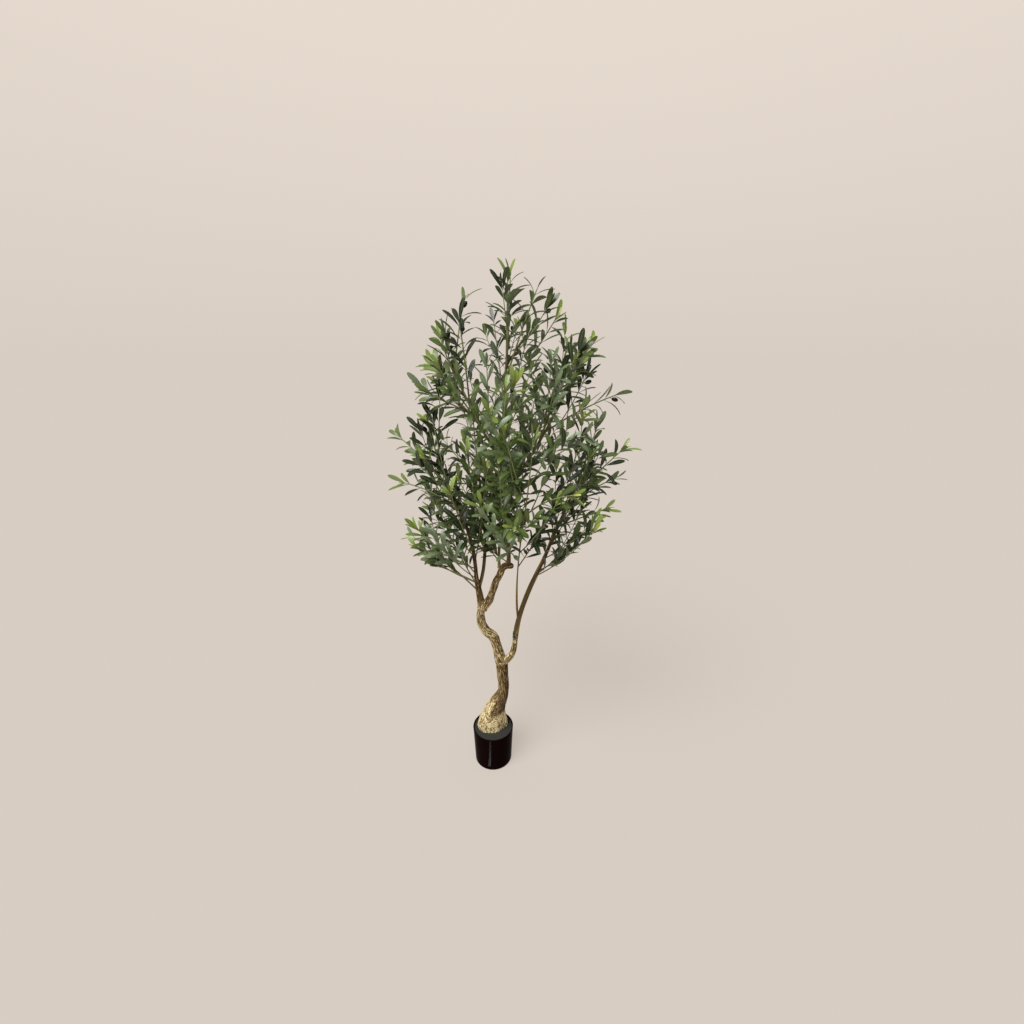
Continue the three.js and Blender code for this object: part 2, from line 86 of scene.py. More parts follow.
# Pot and fill: steps of their profiles, sides of their meshes and the angle that counts as an edge
POT_SIDES = 160
POT_CREASE = math.radians(50)
POT_SIDE_POINTS = 24
FOOT_STEPS = 6
LIP_STEPS = 4
LIP_SHARE = 0.3
INNER_WALL_DROP = 20 * MM
FILL_SIDES = 120
FILL_CREASE = math.radians(60)
FILL_TOP_POINTS = 38
FILL_GRAIN = 0.5 * MM
FILL_CLEAR = 1 * MM
FILL_FOOT_SHARE = 0.9
FILL_EDGE_DROP = 1 * MM
FILL_EDGE_INSET = 0.6 * MM

# Limbs: axis points with the limb's radius there, each row x, y, z, radius in millimetres
LIMB_ROWS = {
    "trunk": [
        [5, 11, 146, 21],
        [17, 7, 206, 21],
        [28, 0, 252, 20.5],
        [39.5, -4, 305, 20.4],
        [42, -2, 347, 20],
        [39.5, 2, 392, 20.6],
        [36, 4, 438, 21.8],
        [29, 4, 470, 20.6],
        [21, 4, 508, 17.4],
        [13, 2, 538, 16.6],
        [2, 1, 563, 16.8],
        [-20, -1, 587, 16.4],
        [-33, -2, 613, 15.4],
        [-37, -1, 640, 14.4],
        [-37, -1, 665, 13.8],
        [-30, 0, 701, 13.4],
    ],
    "upper_arm": [
        [-30, 0, 680, 11.8],
        [-7, 0, 714, 13],
        [6, 0, 750, 12],
        [18, 0, 785, 11.8],
        [30, 0, 810, 12],
        [42, 0, 838, 12],
        [56, 0, 848, 11.6],
        [70, 0, 847, 10.6],
    ],
    "right_bough": [
        [34, 2, 450, 13],
        [58, 0, 466, 12.2],
        [76, -1, 492, 11],
        [85, -2, 535, 9.2],
        [88, -2, 574, 9],
    ],
    "left_bough": [
        [-33, -3, 688, 10.4],
        [-40, -4, 735, 11],
        [-46, -6, 776, 9.6],
        [-50, -9, 815, 7],
        [-53, -13, 870, 6.6],
        [-61, -19, 935, 6.1],
        [-80, -25, 1012, 5.4],
        [-112, -32, 1100, 4.4],
    ],
    "left_inner_bough": [
        [-43, -2, 758, 5.6],
        [-31, 6, 803, 6.1],
        [-23, 15, 852, 6],
        [-19, 28, 925, 5.6],
        [-24, 62, 1020, 5],
        [-38, 104, 1120, 4.2],
    ],
    "centre_stem": [
        [62, 1, 844, 6.6],
        [63, 2, 890, 7.2],
        [59, 2, 985, 7],
        [53, 0, 1096, 6.6],
        [46, 0, 1268, 5.6],
        [50, 0, 1390, 4.6],
        [57, 0, 1500, 4],
    ],
    "left_upper_bough": [
        [49, 0, 1190, 4.2],
        [20, 4, 1250, 4.2],
        [-28, 8, 1330, 3.8],
        [-70, 8, 1420, 3.3],
        [-102, 12, 1486, 2.9],
    ],
    "right_upper_bough": [
        [53, 0, 1110, 4.6],
        [88, -4, 1165, 4.6],
        [138, -8, 1240, 4.2],
        [196, -8, 1345, 3.6],
    ],
    "arm_back_stem": [
        [30, 2, 838, 4.8],
        [30, 30, 900, 4.8],
        [44, 80, 1000, 4.6],
        [72, 132, 1112, 4],
    ],
    "right_outer_stem": [
        [88, -2, 562, 7],
        [92, -2, 600, 9.6],
        [101.5, -2, 648, 9],
        [118, -1, 705, 8.6],
        [136, 0, 757, 8.6],
        [159, 2, 812, 7.8],
        [185, 5, 872, 6.6],
        [222, 9, 970, 5.6],
        [266, 10, 1080, 4.4],
    ],
    "right_upright_stem": [
        [96, -3, 636, 3.8],
        [92, -13, 692, 3.8],
        [91, -23, 755, 3.4],
        [93, -52, 842, 2.3],
        [100, -102, 960, 2.2],
        [112, -150, 1080, 2],
    ],
}
LIMBS = {name: MM * np.array(rows, float) for name, rows in LIMB_ROWS.items()}
BARKED = ("trunk", "upper_arm", "right_bough", "left_bough")
SMOOTH = tuple(name for name in LIMBS if name not in BARKED)
BEARERS = tuple(name for name in LIMBS if name not in ("trunk", "right_bough"))
# The lowest place on each bough that a spray rises from
SPRAY_FROM = {name: 850 * MM for name in BEARERS if name != "upper_arm"}
SPRAY_FROM.update({"left_bough": 735 * MM, "right_outer_stem": 800 * MM})

# Rings and sides of the bark's meshes, and of the smooth stems'
BARK_RINGS = {"trunk": 440, "upper_arm": 170, "right_bough": 130, "left_bough": 260}
BARK_SIDES = {"trunk": 180, "upper_arm": 72, "right_bough": 64, "left_bough": 56}
STEM_RINGS_PER_ROW = 14
STEM_SIDES = 16
CAP_RINGS = 5

# Root flare: the foot widens all round, and one buttress runs up the trunk's left front
FILL_LEVEL = FILL_HIGH.z
FLARE_RISE = 30 * MM
FLARE_TOP = 240 * MM
FLARE_POWER = 1.1
FLARE_LOBES = 5
FLARE_LOBE_DEPTH = 0.07
FLARE_FRONT_CUT = 0.48
BUTTRESS_RISE = 37 * MM
BUTTRESS_PEAK = 236 * MM
BUTTRESS_FOOT_REACH = 180 * MM
BUTTRESS_TOP_REACH = 92 * MM
BUTTRESS_HEADING = 1.11 * math.pi
BUTTRESS_SHARPNESS = 2.2
BUTTRESS_FOOT_POWER = 2.0
BUTTRESS_TOP_POWER = 1.2
UPRIGHT_RINGS_TO = 330 * MM

# Bark: long plates parted by cracks, shorter and lumpier on the flare, with one knot and a crest there
PLATE_ACROSS = 2.4 * MM
PLATE_ALONG = 22 * MM
SCALE_ACROSS = 4.6 * MM
SCALE_ALONG = 9 * MM
SCALY_FROM = 285 * MM
SCALY_TO = 205 * MM
BARK_TWIST = 4.0
WARP_SCALE = 0.6
WARP_SHIFTS = (11.0, 37.0, 71.0)
WARP_STRENGTH = 1.6
CRACK_WIDTH = 0.5
GRAIN_SCALE = 2.3
BARK_LAYERS = 3
# Shares of the bark's height from its floor, its plates and its grain, and the height that lies on the core
FLOOR_SHARE = 0.1
PLATE_SHARE = 0.4
GRAIN_SHARE = 0.5
BARK_DATUM = 0.62
# Slow lumps under the bark, the collar at a limb's root, and how the bark fades out up the left bough
LUMPS_ROUND = 2
LUMP_LENGTH = 30 * MM
LUMP_LAYERS = 2
TRUNK_LUMPS = 0.16
LIMB_LUMPS = 0.28
BARK_COLLAR = 0.5
BARK_COLLAR_LENGTH = 20 * MM
BARK_FADE = (695 * MM, 745 * MM)
BARE_TONE = 0.6
BARE_SMOOTHING = 0.8
TIP_ROUNDING = 0.25
# How much paler the bark is painted on a limb, and near its root
LIMB_TONES = {"upper_arm": -0.5, "right_bough": -0.25, "left_bough": -0.6}
ROOT_TONE = 0.6
ROOT_TONE_LENGTH = 30 * MM
# Round swellings of the trunk, each a heading, a height and a rise
BULGES = ((0.0, 560 * MM, 4 * MM), (math.pi, 636 * MM, 2 * MM), (0.15, 440 * MM, 2 * MM))
BULGE_SPREAD = 0.7
BULGE_LENGTH = 22 * MM
KNOT_HEADING = math.radians(258)
KNOT_HEIGHT = 203 * MM
KNOT_RADIUS = 13 * MM
KNOT_FLATNESS = 1.25
KNOT_RIM = 0.62
KNOT_RIM_WIDTH = 0.22
KNOT_EYE_DEPTH = 0.8
KNOT_EYE_WIDTH = 0.25
KNOT_EDGE = (0.8, 1.15)
KNOT_LEVEL = 0.4
KNOT_LIFT = 0.6
CREST_HEADING = math.radians(232)
CREST_RISE = 11 * MM
CREST_WIDTH = math.radians(10)
CREST_LOW = 195 * MM
CREST_HIGH = 300 * MM
# Paint and painted light of the trunk: where each zone fades in or out, as headings from the crest or as
# heights, and how pale
LEFT_FRONT_EDGE = (0.1, -0.06)
LEFT_BACK_EDGE = (-2.1, -1.3)
LEFT_TOP = (320 * MM, 270 * MM)
# The left face is pale partly by paint and partly by a painted highlight on the side that the light falls on
LEFT_PAINT_AND_HIGHLIGHT = 0.57
FOOT_TOP = (256 * MM, 220 * MM)
FOOT_TONE = 0.78
# Painted shade from right of the crest up to the fork, darkest on the shaded right side and in the hollow
PAINTED_SHADE_FROM = (216 * MM, 255 * MM)
PAINTED_SHADE_TO = (520 * MM, 440 * MM)
TRUNK_PAINTED_SHADE = 0.4
SHADED_SIDE = math.radians(325)
SHADED_SIDE_SPREAD = 0.95
SHADED_SIDE_DARKENING = 0.4
HOLLOW_TOP = (370 * MM, 300 * MM)
HOLLOW_PAINTED_SHADE = 0.3
BEND_FROM = (560 * MM, 620 * MM)
BEND_TONE = 0.1

# The torn end of the right bough's sleeve: its place on the bough, rings of heights and radii, and its waves
SLEEVE_SIDES = 48
SLEEVE_PLACE = 0.985
SLEEVE_HEIGHTS = MM * np.array([-13, -12.5, -9, 0, 7, 10.5, 11])
SLEEVE_RADII = MM * np.array([7.5, 9.8, 10.6, 10.3, 10.4, 10.1, 7.6])
SLEEVE_ENDS = (-10 * MM, 9 * MM)
SLEEVE_WAVES_ROUND = 2.2
SLEEVE_HEIGHT_WAVE = 0.9
SLEEVE_RADIUS_WAVE = 0.12

# Smooth stems: streaks along them, the collar at the root, and where they turn green
STREAKS_ROUND = 1.3
STREAK_LENGTH = 60 * MM
STREAK_SHIFT = 13
STREAK_LAYERS = 3
STEM_RIBS = 0.14
STEM_COLLAR = 0.35
STEM_COLLAR_LENGTH = 2.2
STEM_GREEN_FROM = (900 * MM, 1300 * MM)

# Crown: the outermost points on both sides, each x, y, z in millimetres, in the order of the masses
SIDE_TIPS = MM * np.array([
    [63, 0, 1786],
    [-62, 40, 1733],
    [-125, -50, 1636],
    [-200, 60, 1523],
    [-192, -70, 1444],
    [-314, 30, 1321],
    [-303, -40, 1174],
    [-303, 50, 965],
    [-216, -20, 874],
    [160, -30, 1755],
    [230, 50, 1675],
    [323, -20, 1604],
    [444, 40, 1441],
    [446, -40, 1292],
    [461, 60, 1170],
    [416, -30, 1079],
    [300, 40, 905],
], float)
CROWN_AXIS_X = 68 * MM
CROWN_BASE = 840 * MM
CROWN_TOP = 1798 * MM
CROWN_REACH = 370 * MM
CROWN_WIDEST = 0.42
CROWN_POWER_ABOVE = 2.8
CROWN_POWER_BELOW = 6
CROWN_UNDERCUT = 0.08
CROWN_FRINGE = 30 * MM
CROWN_FRONT_SQUEEZE = 1.18
# The crown's underside: its level, its slope up to the front, and where it starts to rise on the left and on
# the right, with the slope there
UNDERSIDE_LEVEL = 842 * MM
UNDERSIDE_FRONT_SLOPE = 0.62
UNDERSIDE_LEFT = (-225 * MM, 1.4)
UNDERSIDE_RIGHT = (240 * MM, 0.95)
# The faces of the crown in front and behind: tips, heading, lowest and highest tip, share of the reach
FACES = (
    (8, -0.5 * math.pi, 1120 * MM, 1660 * MM, 0.91),
    (9, 0.5 * math.pi, 965 * MM, 1680 * MM, 1.01),
)
FACE_SPREAD = 0.3 * math.pi
FACE_STEP = 2.4

# A mass's stem: how far it likes to turn from its bough, and what it keeps clear of
STEM_TURN = 0.2 * math.pi
STEM_TURN_TOLERANCE = 0.16 * math.pi
STEM_PLACES_PER_ROW = 6
STEM_FIRST_PLACE = 4
STEM_POINTS = 24
STEM_FREE_FROM = 8
STEM_SHORTEST = 170 * MM
STEM_LONGEST = 460 * MM
STEM_SPACING = 30 * MM
STEM_CLEAR = 8 * MM
STEM_BEND = 0.22
STEM_SAG_SHARE = 0.25
STEM_CHOICE_REACH = 84 * MM
STEM_TIP_REACH = 44 * MM
LIMB_TESTS_PER_ROW = 8
# Radii of the twigs at their roots and ends
STEM_GIRTHS = (2.8 * MM, 1.6 * MM)
LEADER_END_GIRTH = 1.4 * MM
SPRAY_GIRTH = 2.1 * MM
SHOOT_GIRTH = 1.9 * MM
TWIG_END_GIRTH = 1.2 * MM
TWIG_LENGTH_POINTS = 9
# Rings and sides of the meshes of stems, shoots and olive stalks
STEM_MESH = (16, 8)
SHOOT_MESH = (7, 6)
STALK_MESH = (5, 5)

# Leaders carry the boughs' ends on, sprays rise from the boughs' sides, and shoots branch from all of them
LEADER_LENGTH = 250 * MM
LEADER_LIFT = 0.25
LEADER_MARGIN = 60 * MM
LEADER_TRIES = np.linspace(0.3, 1.0, 8)
LEADER_BEND_AT = 0.5
SPRAY_SPACING = 24 * MM
SPRAY_STEEPNESS = 0.36
SPRAY_OUTWARD = 1.2
SPRAY_LOWEST = 735 * MM
SPRAY_TO = 1480 * MM
# Sprays lengthen below this level, and above it only one in a few stays
SPRAY_LEVEL = 970 * MM
HIGH_SPRAY_STEP = 3
SPRAY_LENGTH = 210 * MM
SPRAY_LENGTHENING = 0.9
SPRAY_LENGTH_SPREAD = (0.8, 1.2)
SPRAY_ANGLE = 0.15 * math.pi
SPRAY_LOW_ANGLE = 0.31 * math.pi
SPRAY_ANGLE_SPREAD = (0.75, 1.25)
SPRAY_MEASURE_POINTS = 40
SPRAY_LIFT = 0.26
SPRAY_MARGIN = 70 * MM
SHOOT_FIRST = 0.16
SHOOT_LAST = 0.72
SHOOT_ANGLE = 0.15 * math.pi
SHOOT_ANGLE_SPREAD = (0.8, 1.2)
SHOOT_LENGTH = 200 * MM
SHOOT_SHORTENING = 80 * MM
SHOOT_LENGTH_SPREAD = 0.2
SHOOT_STEP_SPREAD = 0.5
SHOOT_LIFT = 0.24
SHOOT_MARGIN = 85 * MM
SHOOT_TRIES = (1.0, 0.82, 0.66, 0.5)
# Where a twig bends, and the place half way along it that is tested, as shares of its lean and lift
TWIG_BEND_AT = 0.55
HALF_WAY_LEAN = 0.6
HALF_WAY_LIFT = 0.1
MARGIN_HEIGHTS = (900 * MM, 1150 * MM)
SHOOT_CLEAR = 10 * MM
THIN_HEIGHTS = (1330 * MM, 1600 * MM)
THIN_SHARE = 0.36

# Leaves: the bare share of stems, sprays and shoots, and the leaves' places along the rest
BARE_SHARES = (0.26, 0.08, 0.16)
LEAF_STEP_SPREAD = 0.25
LAST_PAIR_AT = 0.97
END_LEAVES = 3
END_LEAVES_AT = 0.985
# Their turn round the twig, their angle from it and the side that they face, with the spread of each
LEAF_TURN_SPREAD = 0.9
LEAF_ANGLE = 0.68
LEAF_ANGLE_CLOSING = 0.18
LEAF_ANGLE_SPREAD = 0.4
END_TURN_SPREAD = 0.5
END_ANGLE = 0.3
END_ANGLE_SPREAD = 0.2
THIRD_ANGLE = 0.07
LEAF_DROOP = 0.14
LEAF_FACE = 0.35 * UP - 0.25 * DEPTH
LEAF_FACE_SPREAD = 0.7
LEAF_CURL = 0.5
SIDE_CURL = 0.1
END_CURL = -0.2
# How leaves' lengths spread, and the shares that one loses at the end, as the third there, as a bud, near the
# end and at the front
LEAF_LENGTH_SPREAD = 0.34
END_SHORTENING = 0.18
THIRD_SHORTENING = 0.16
BUD_SHORTENING = 0.15
YOUNG_SHORTENING = 0.14
YOUNG_SHARES = (0.55, 1.0)
FRONT_SHORTENING = 0.24
FRONT_DEPTHS = (100 * MM, 320 * MM)
# What a leaf keeps clear of, tested at these shares of its length
LEAF_TESTS = (0.5, 1.0)
LEAF_FRINGE = CROWN_FRINGE + 6 * MM
LEAF_LIMB_CLEAR = 4 * MM
LEAF_CROWD = 7 * MM
# The blade: its stations, its outline, the least bend of its midline, and its section
LEAF_STATIONS = np.array([0.0, 0.07, 0.1, 0.2, 0.36, 0.54, 0.72, 0.88, 0.97, 1.0])
LEAF_SIDES = 4
LEAF_CREASE = math.radians(70)
STALK_SHARE = 0.09
BLADE_SCALE = 2.83
BLADE_TIP_POWER = 0.58
STALK_WIDTH = 0.05
LEAST_CURL = 0.02
LEAF_HALF_THICKNESS = 0.6 * MM
LEAF_EDGE_LIFT = 0.22
# Tints: the first four are dealt by twig in these shares, and the last three are for flushing tips
TINTS = ("deep", "mid", "grey", "warm", "young", "bright", "bud")
TINT_SHARES = (0.36, 0.29, 0.14, 0.21)
YOUNG, BRIGHT, BUD = (TINTS.index(name) for name in ("young", "bright", "bud"))
# Toward the front, over these depths, the paler tints are dealt less often: painted shade that darkens the
# crown's front
FRONT_SHADE_SHIFT = 0.2
FRONT_SHADE_DEPTHS = (80 * MM, 260 * MM)
FLUSH_SHARE = 0.43
FLUSH_FROM = 900 * MM
# The tips of the top mass and of the lowest front mass always flush
FLUSHING_STEMS = (0, len(SIDE_TIPS))

# Olives: their place along a twig, how the stalk leaves it and hangs, and their sizes
OLIVE_PLACES = (0.84, 0.94)
OLIVE_ANGLE = 1.1
HANG_ALONG = 0.6
HANG_ASIDE = 0.5
HANG_DOWN = 0.3
KNEE_REACH = 6 * MM
OLIVE_DROP = 13 * MM
STALK_STOP = 6 * MM
STALK_GIRTH = 0.8 * MM
OLIVE_LIMB_CLEAR = 14 * MM
OLIVE_LENGTH = 22 * MM
OLIVE_RADIUS = 6.4 * MM
OLIVE_RINGS = 9
OLIVE_SIDES = 12
# A direction that no olive hangs in
OLIVE_ACROSS = DEPTH + 0.1

# Stage: floor, surround, lights and camera
FLOOR_RADII = (40, 6, 1.5)
FLOOR_TOP = -0.5 * MM
FLOOR_UNDER = -20 * MM
FLOOR_SIDES = 96
FLOOR_CREASE = math.radians(40)
FLOOR_DIMMING = 0.28
FLOOR_GLOW = 0.61
SURROUND_WHITE = (1.0, 0.97, 0.93, 1.0)
SURROUND_HIGH_AT = 0.46
KEY_FROM = (-0.62, -0.75, 1.15)
KEY_WIDTH = math.radians(42)
STRIP_DISTANCE = 150 * MM
STRIP_HEADING = math.radians(-13)
STRIP_SIZE = (16 * MM, 130 * MM)
STRIP_LEVEL = 4 * MM
CAMERA_PLACE = (0.0745, -1.422, 1.522)
CAMERA_TILT = math.radians(90 - 18.57)
CAMERA_SENSOR = 36.0

# Finishes: grains in repeats a metre, ranges in which a mask goes from 0 to 1, and shares of what is added
POT_CLOUDS = 16.0
POT_CLOUD_SHADE = 0.6
POT_SCUFFS = 38.0
POT_SCUFF_RANGE = (0.56, 0.78)
POT_ROUGHNESS = 0.14
POT_SCUFF_ROUGHNESS = 0.22
POT_RIPPLES = 55.0
CEMENT_CLOUDS = 45.0
CEMENT_CLOUD_SHADE = 1.2
CEMENT_CLOUD_HEIGHT = 0.8
CEMENT_SAND = 620.0
CEMENT_SPECK_RANGE = (0.56, 0.7)
CEMENT_ROUGHNESS = 0.82
CEMENT_CLOUD_ROUGHNESS = 0.15
BARK_CLOUDS = 26.0
BARK_GRAIN = 210.0
BARK_DUST = 700.0
BARK_DUST_HEIGHT = 0.5
BARK_ROUGHNESS = 0.86
GOLD_SMOOTHNESS = 0.3
GOLD_RANGE = (0.3, 1.0)
# The bark's paint goes by relief, grain, clouds and tone with these weights, from crack to gold at the stops;
# on the trunk the tone holds painted highlight and painted shade as well as paint
PAINT_BY_RELIEF = 1.3
PAINT_OFFSET = 0.15
PAINT_BY_GRAIN = 0.8
PAINT_BY_CLOUDS = 0.6
PAINT_BY_TONE = 0.33
PAINT_STOPS = (0.16, 0.4, 0.62, 0.95)
PAINT_DIMMING = 0.55
STEM_GRAIN = 300.0
STEM_GRAIN_SHARE = 0.35
STEM_GRAIN_HEIGHT = 0.4
STEM_STREAK_RANGE = (0.3, 0.85)
STEM_STOPS = (0.0, 0.45, 1.0)
STEM_DARK_SHADE = 0.6
STEM_ROUGHNESS = 0.5
STEM_GRAIN_ROUGHNESS = 0.25
TWIG_GREEN_RANGE = (0.0, 0.6)
# A leaf's midrib and veins, its darker base and its stalk, and how near to the underside's colour parts are
RIB_RANGE = (0.04, 0.18)
RIB_SHARE = 0.5
RIB_PALENESS = 0.45
UNDER_RIB_SHARE = 0.4
UNDER_PALENESS = 0.28
VEINS_ALONG = 62.0
VEINS_ACROSS = 16.0
VEIN_RANGE = (0.55, 1.0)
VEIN_SHARE = 0.1
VEIN_HEIGHT = 0.3
BLADE_BASE_RANGE = (0.05, 0.75)
BLADE_BASE_SHADE = 0.62
LEAF_STALK_RANGE = (0.06, 0.1)
LEAF_ROUGHNESS = 0.29
UNDER_ROUGHNESS = 0.24
VEIN_ROUGHNESS = 0.08
OLIVE_STALK_SHADE = 2.6
OLIVE_STALK_RANGE = (0.0, 0.35)
SLEEVE_WEAR = 150.0
SLEEVE_WEAR_RANGE = (0.5, 0.6)


def linear(code):
    """Turns a display colour such as #c8b27a into the linear red, green, blue and alpha of a shader."""
    parts = [int(code[i:i + 2], 16) / 255 for i in (1, 3, 5)]
    return tuple([p / 12.92 if p < 0.04045 else ((p + 0.055) / 1.055) ** 2.4 for p in parts] + [1.0])


def number_prop(name, description, default, **kind):
    """A number of 0 or more that a user may change."""
    return FloatProperty(name=name, description=description, default=default, min=0.0, **kind)


def size_prop(name, description, default):
    """A length that a user may change."""
    return number_prop(name, description, default, unit="LENGTH")


def share_prop(name, description, default):
    """A share from 0 to 1 that a user may change."""
    return number_prop(name, description, default, max=1.0, subtype="FACTOR")


def colour_prop(name, description, code):
    """A colour that a user may change, given as it shows."""
    return FloatVectorProperty(
        name=name, description=description, default=linear(code), size=4, min=0.0, max=1.0, subtype="COLOR"
    )


class PotSettings(bpy.types.PropertyGroup):
    """The pot and its cement fill."""

    height: size_prop("Height", "Height of the pot's rim", POT_HIGH.z)
    rim_radius: size_prop("Rim radius", "Radius of the pot outside its rim", POT_HIGH.x)
    foot_radius: size_prop("Foot radius", "Radius of the pot where its side would meet the floor", 0.072)
    foot_round: size_prop("Foot rounding", "Radius of the rounded foot", 0.005)
    wall: size_prop("Wall", "Thickness of the pot's wall", 0.003)
    floor: size_prop("Floor", "Thickness of the pot's floor", 0.004)
    gloss: colour_prop("Pot colour", "Black of the moulded pot", "#140807")
    cement: colour_prop("Fill colour", "Grey of the cement fill", "#353532")
    cement_dark: colour_prop("Fill specks", "Dark specks in the fill", "#272624")


class BarkSettings(bpy.types.PropertyGroup):
    """The bark of the trunk and thick limbs, and the smooth stems."""

    relief: size_prop("Relief", "Depth of the bark from plate to crack", 0.0022)
    flare_relief: size_prop("Flare relief", "Depth of the lumps on the root flare", 0.0062)
    crack: colour_prop("Cracks", "Brown in the bark's cracks", "#37250d")
    plate: colour_prop("Plates", "Tan of the bark's plates", "#877044")
    gold: colour_prop("Ridges", "Pale gold on the bark's ridges", "#e4d2a4")
    stem: colour_prop("Stems", "Brown of the smooth stems", "#634f2a")
    stem_pale: colour_prop("Stem streaks", "Pale streaks on the smooth stems", "#9f8849")
    stem_green: colour_prop("Young stems", "Green of the stems inside the crown", "#5c683d")
    sleeve: colour_prop("Sleeve end", "Black of the torn end of the bark's sleeve", "#1d1610")


class CrownSettings(bpy.types.PropertyGroup):
    """The twigs, leaves and olives of the crown."""

    shoot_spacing: size_prop("Shoot spacing", "Distance between shoots along a stem", 0.076)
    pair_spacing: size_prop("Pair spacing", "Distance between pairs of leaves along a twig", 0.0285)
    leaf_length: size_prop("Leaf length", "Length of a full leaf", 0.07)
    leaf_width: share_prop("Leaf width", "Width of a leaf as a share of its length", 0.238)
    olive_share: share_prop("Olives", "Share of the twigs that bear an olive", 0.3)
    seed: IntProperty(name="Seed", description="Changes the growth of the shoots and leaves", default=7)
    deep: colour_prop("Deep leaves", "Dark green of old leaves", "#25320f")
    mid: colour_prop("Middle leaves", "Green of most leaves", "#4e6126")
    # The grey tint is partly the leaves' own grey green and partly a painted sheen
    grey: colour_prop("Grey leaves", "Grey green of shining leaves", "#70805a")
    warm: colour_prop("Warm leaves", "Warm green of some sprays", "#66763b")
    young: colour_prop("Young leaves", "Green of young leaves", "#6f8236")
    bright: colour_prop("Tip leaves", "Yellow green of the leaves at the tips", "#8ba149")
    under: colour_prop("Undersides", "Pale grey green under the leaves", "#98a78a")
    twig: colour_prop("Twigs", "Green of the twigs", "#7f8a55")
    bud: colour_prop("Buds", "Yellow of the smallest leaves at the tips", "#aeb14a")
    olive: colour_prop("Olives", "Black of the olives", "#100c0d")


class StageSettings(bpy.types.PropertyGroup):
    """The floor, the light and the camera."""

    floor: colour_prop("Floor", "Pale beige of the floor", "#e2d7cc")
    surround: colour_prop("Surround", "Pale beige that shows behind the tree", "#d8cdc2")
    surround_high: colour_prop("Surround above", "Paler beige high above the tree", "#e6dacf")
    surround_light: number_prop("Surround light", "Strength of the light all round", 0.27)
    key_light: number_prop("Key light", "Strength of the large soft light", 3.2)
    strip_light: number_prop("Strip light", "Power of the slim light", 0.25, unit="POWER")
    lens: number_prop("Lens", "Focal length of the camera in millimetres", 15.82, unit="CAMERA")


SETTINGS = {
    "olive_pot": PotSettings,
    "olive_bark": BarkSettings,
    "olive_crown": CrownSettings,
    "olive_stage": StageSettings,
}


def unit(vectors):
    """Vectors scaled to length 1."""
    return vectors / np.maximum(np.linalg.norm(vectors, axis=-1, keepdims=True), TINY)


def between(low, high, share):
    """The value at a share of the way from low to high."""
    return low + (high - low) * share


def bell(value):
    """1 at 0, falling to both sides as the exponential of minus the square."""
    return np.exp(-(value**2))


def smoothstep(low, high, value):
    """0 below low, 1 above high, and a smooth cubic between."""
    share = np.clip((value - low) / (high - low), 0.0, 1.0)
    return share * share * (3.0 - 2.0 * share)


def chance(a, b=0.0, c=0.0):
    """A number from 0 to 1 that depends only on its keys, such as a twig, a step along it and the number of
    the draw: what is left of a large sine after its whole part."""
    phase = sum(np.multiply(key, weight) for key, weight in zip((a, b, c), CHANCE_WEIGHTS))
    wave = np.sin(phase) * CHANCE_SCALE
    return wave - np.floor(wave)


def smooth_noise(points):
    """Noise from 0 to 1: the chance of each corner of a unit lattice, blended smoothly over its cells."""
    cell = np.floor(points)
    share = smoothstep(0.0, 1.0, points - cell)
    total = np.zeros(points.shape[:-1])
    for corner in itertools.product((0, 1), repeat=3):
        weight = np.prod(np.where(np.array(corner) > 0, share, 1.0 - share), axis=-1)
        at = cell + corner
        total += weight * chance(at[..., 0], at[..., 1], at[..., 2])
    return total


def layered_noise(points, layers=4):
    """Layers of smooth noise, each about twice as fine and half as strong as the last, from 0 to 1."""
    total = sum(smooth_noise(points * LAYER_FINER**i + LAYER_SHIFT * i) * 0.5**i for i in range(layers))
    return total / (2.0 - 0.5 ** (layers - 1))


def spline(rows, t):
    """Uniform Catmull-Rom curve through rows: cubics whose slope at a row is half the step between its
    neighbours, with the row before the first and after the last carried on straight."""
    rows = np.vstack([2 * rows[0] - rows[1], rows, 2 * rows[-1] - rows[-2]])
    place = np.clip(t, 0.0, 1.0) * (len(rows) - 3)
    i = np.minimum(place.astype(int), len(rows) - 4)
    s = (place - i)[:, None]
    a, b, c, d = (rows[i + k] for k in range(4))
    bend = (2 * a - 5 * b + 4 * c - d) * s**2 + (3 * b - a - 3 * c + d) * s**3
    return 0.5 * (2 * b + (c - a) * s + bend)


def limb_line(name, t):
    """Centres, headings and radii of a limb at the shares t of its length."""
    axis, radii = LIMBS[name][:, :3], LIMBS[name][:, 3:]
    ahead = spline(axis, np.minimum(t + HEADING_STEP, 1))
    behind = spline(axis, np.maximum(t - HEADING_STEP, 0))
    return spline(axis, t), unit(ahead - behind), spline(radii, t)[:, 0]


def curve_points(root, middle, end, t):
    """Points of quadratic curves: root (1-t)^2 + middle 2t(1-t) + end t^2."""
    return (1 - t) ** 2 * root + 2 * t * (1 - t) * middle + t**2 * end


def path_length(points):
    """The distance along a line of points from its first to each of them."""
    return np.concatenate([[0.0], np.cumsum(np.linalg.norm(np.diff(points, axis=0), axis=1))])


def round_angles(sides):
    """Angles spread evenly over one turn."""
    return TURN * np.arange(sides) / sides


def round_places(radius, angle, height):
    """Points at a radius, an angle and a height: radius cos, radius sin and height."""
    return np.stack([radius * np.cos(angle), radius * np.sin(angle), height + 0 * angle], axis=-1)


def spokes(first, second, angle):
    """Vectors at an angle between two axes: first cos + second sin."""
    return first * np.cos(angle)[..., None] + second * np.sin(angle)[..., None]


def with_ends(start, rings, end):
    """One tube's points: a pole, the rings' points and a pole."""
    return np.concatenate([start[None], rings.reshape(-1, 3), end[None]])[None]


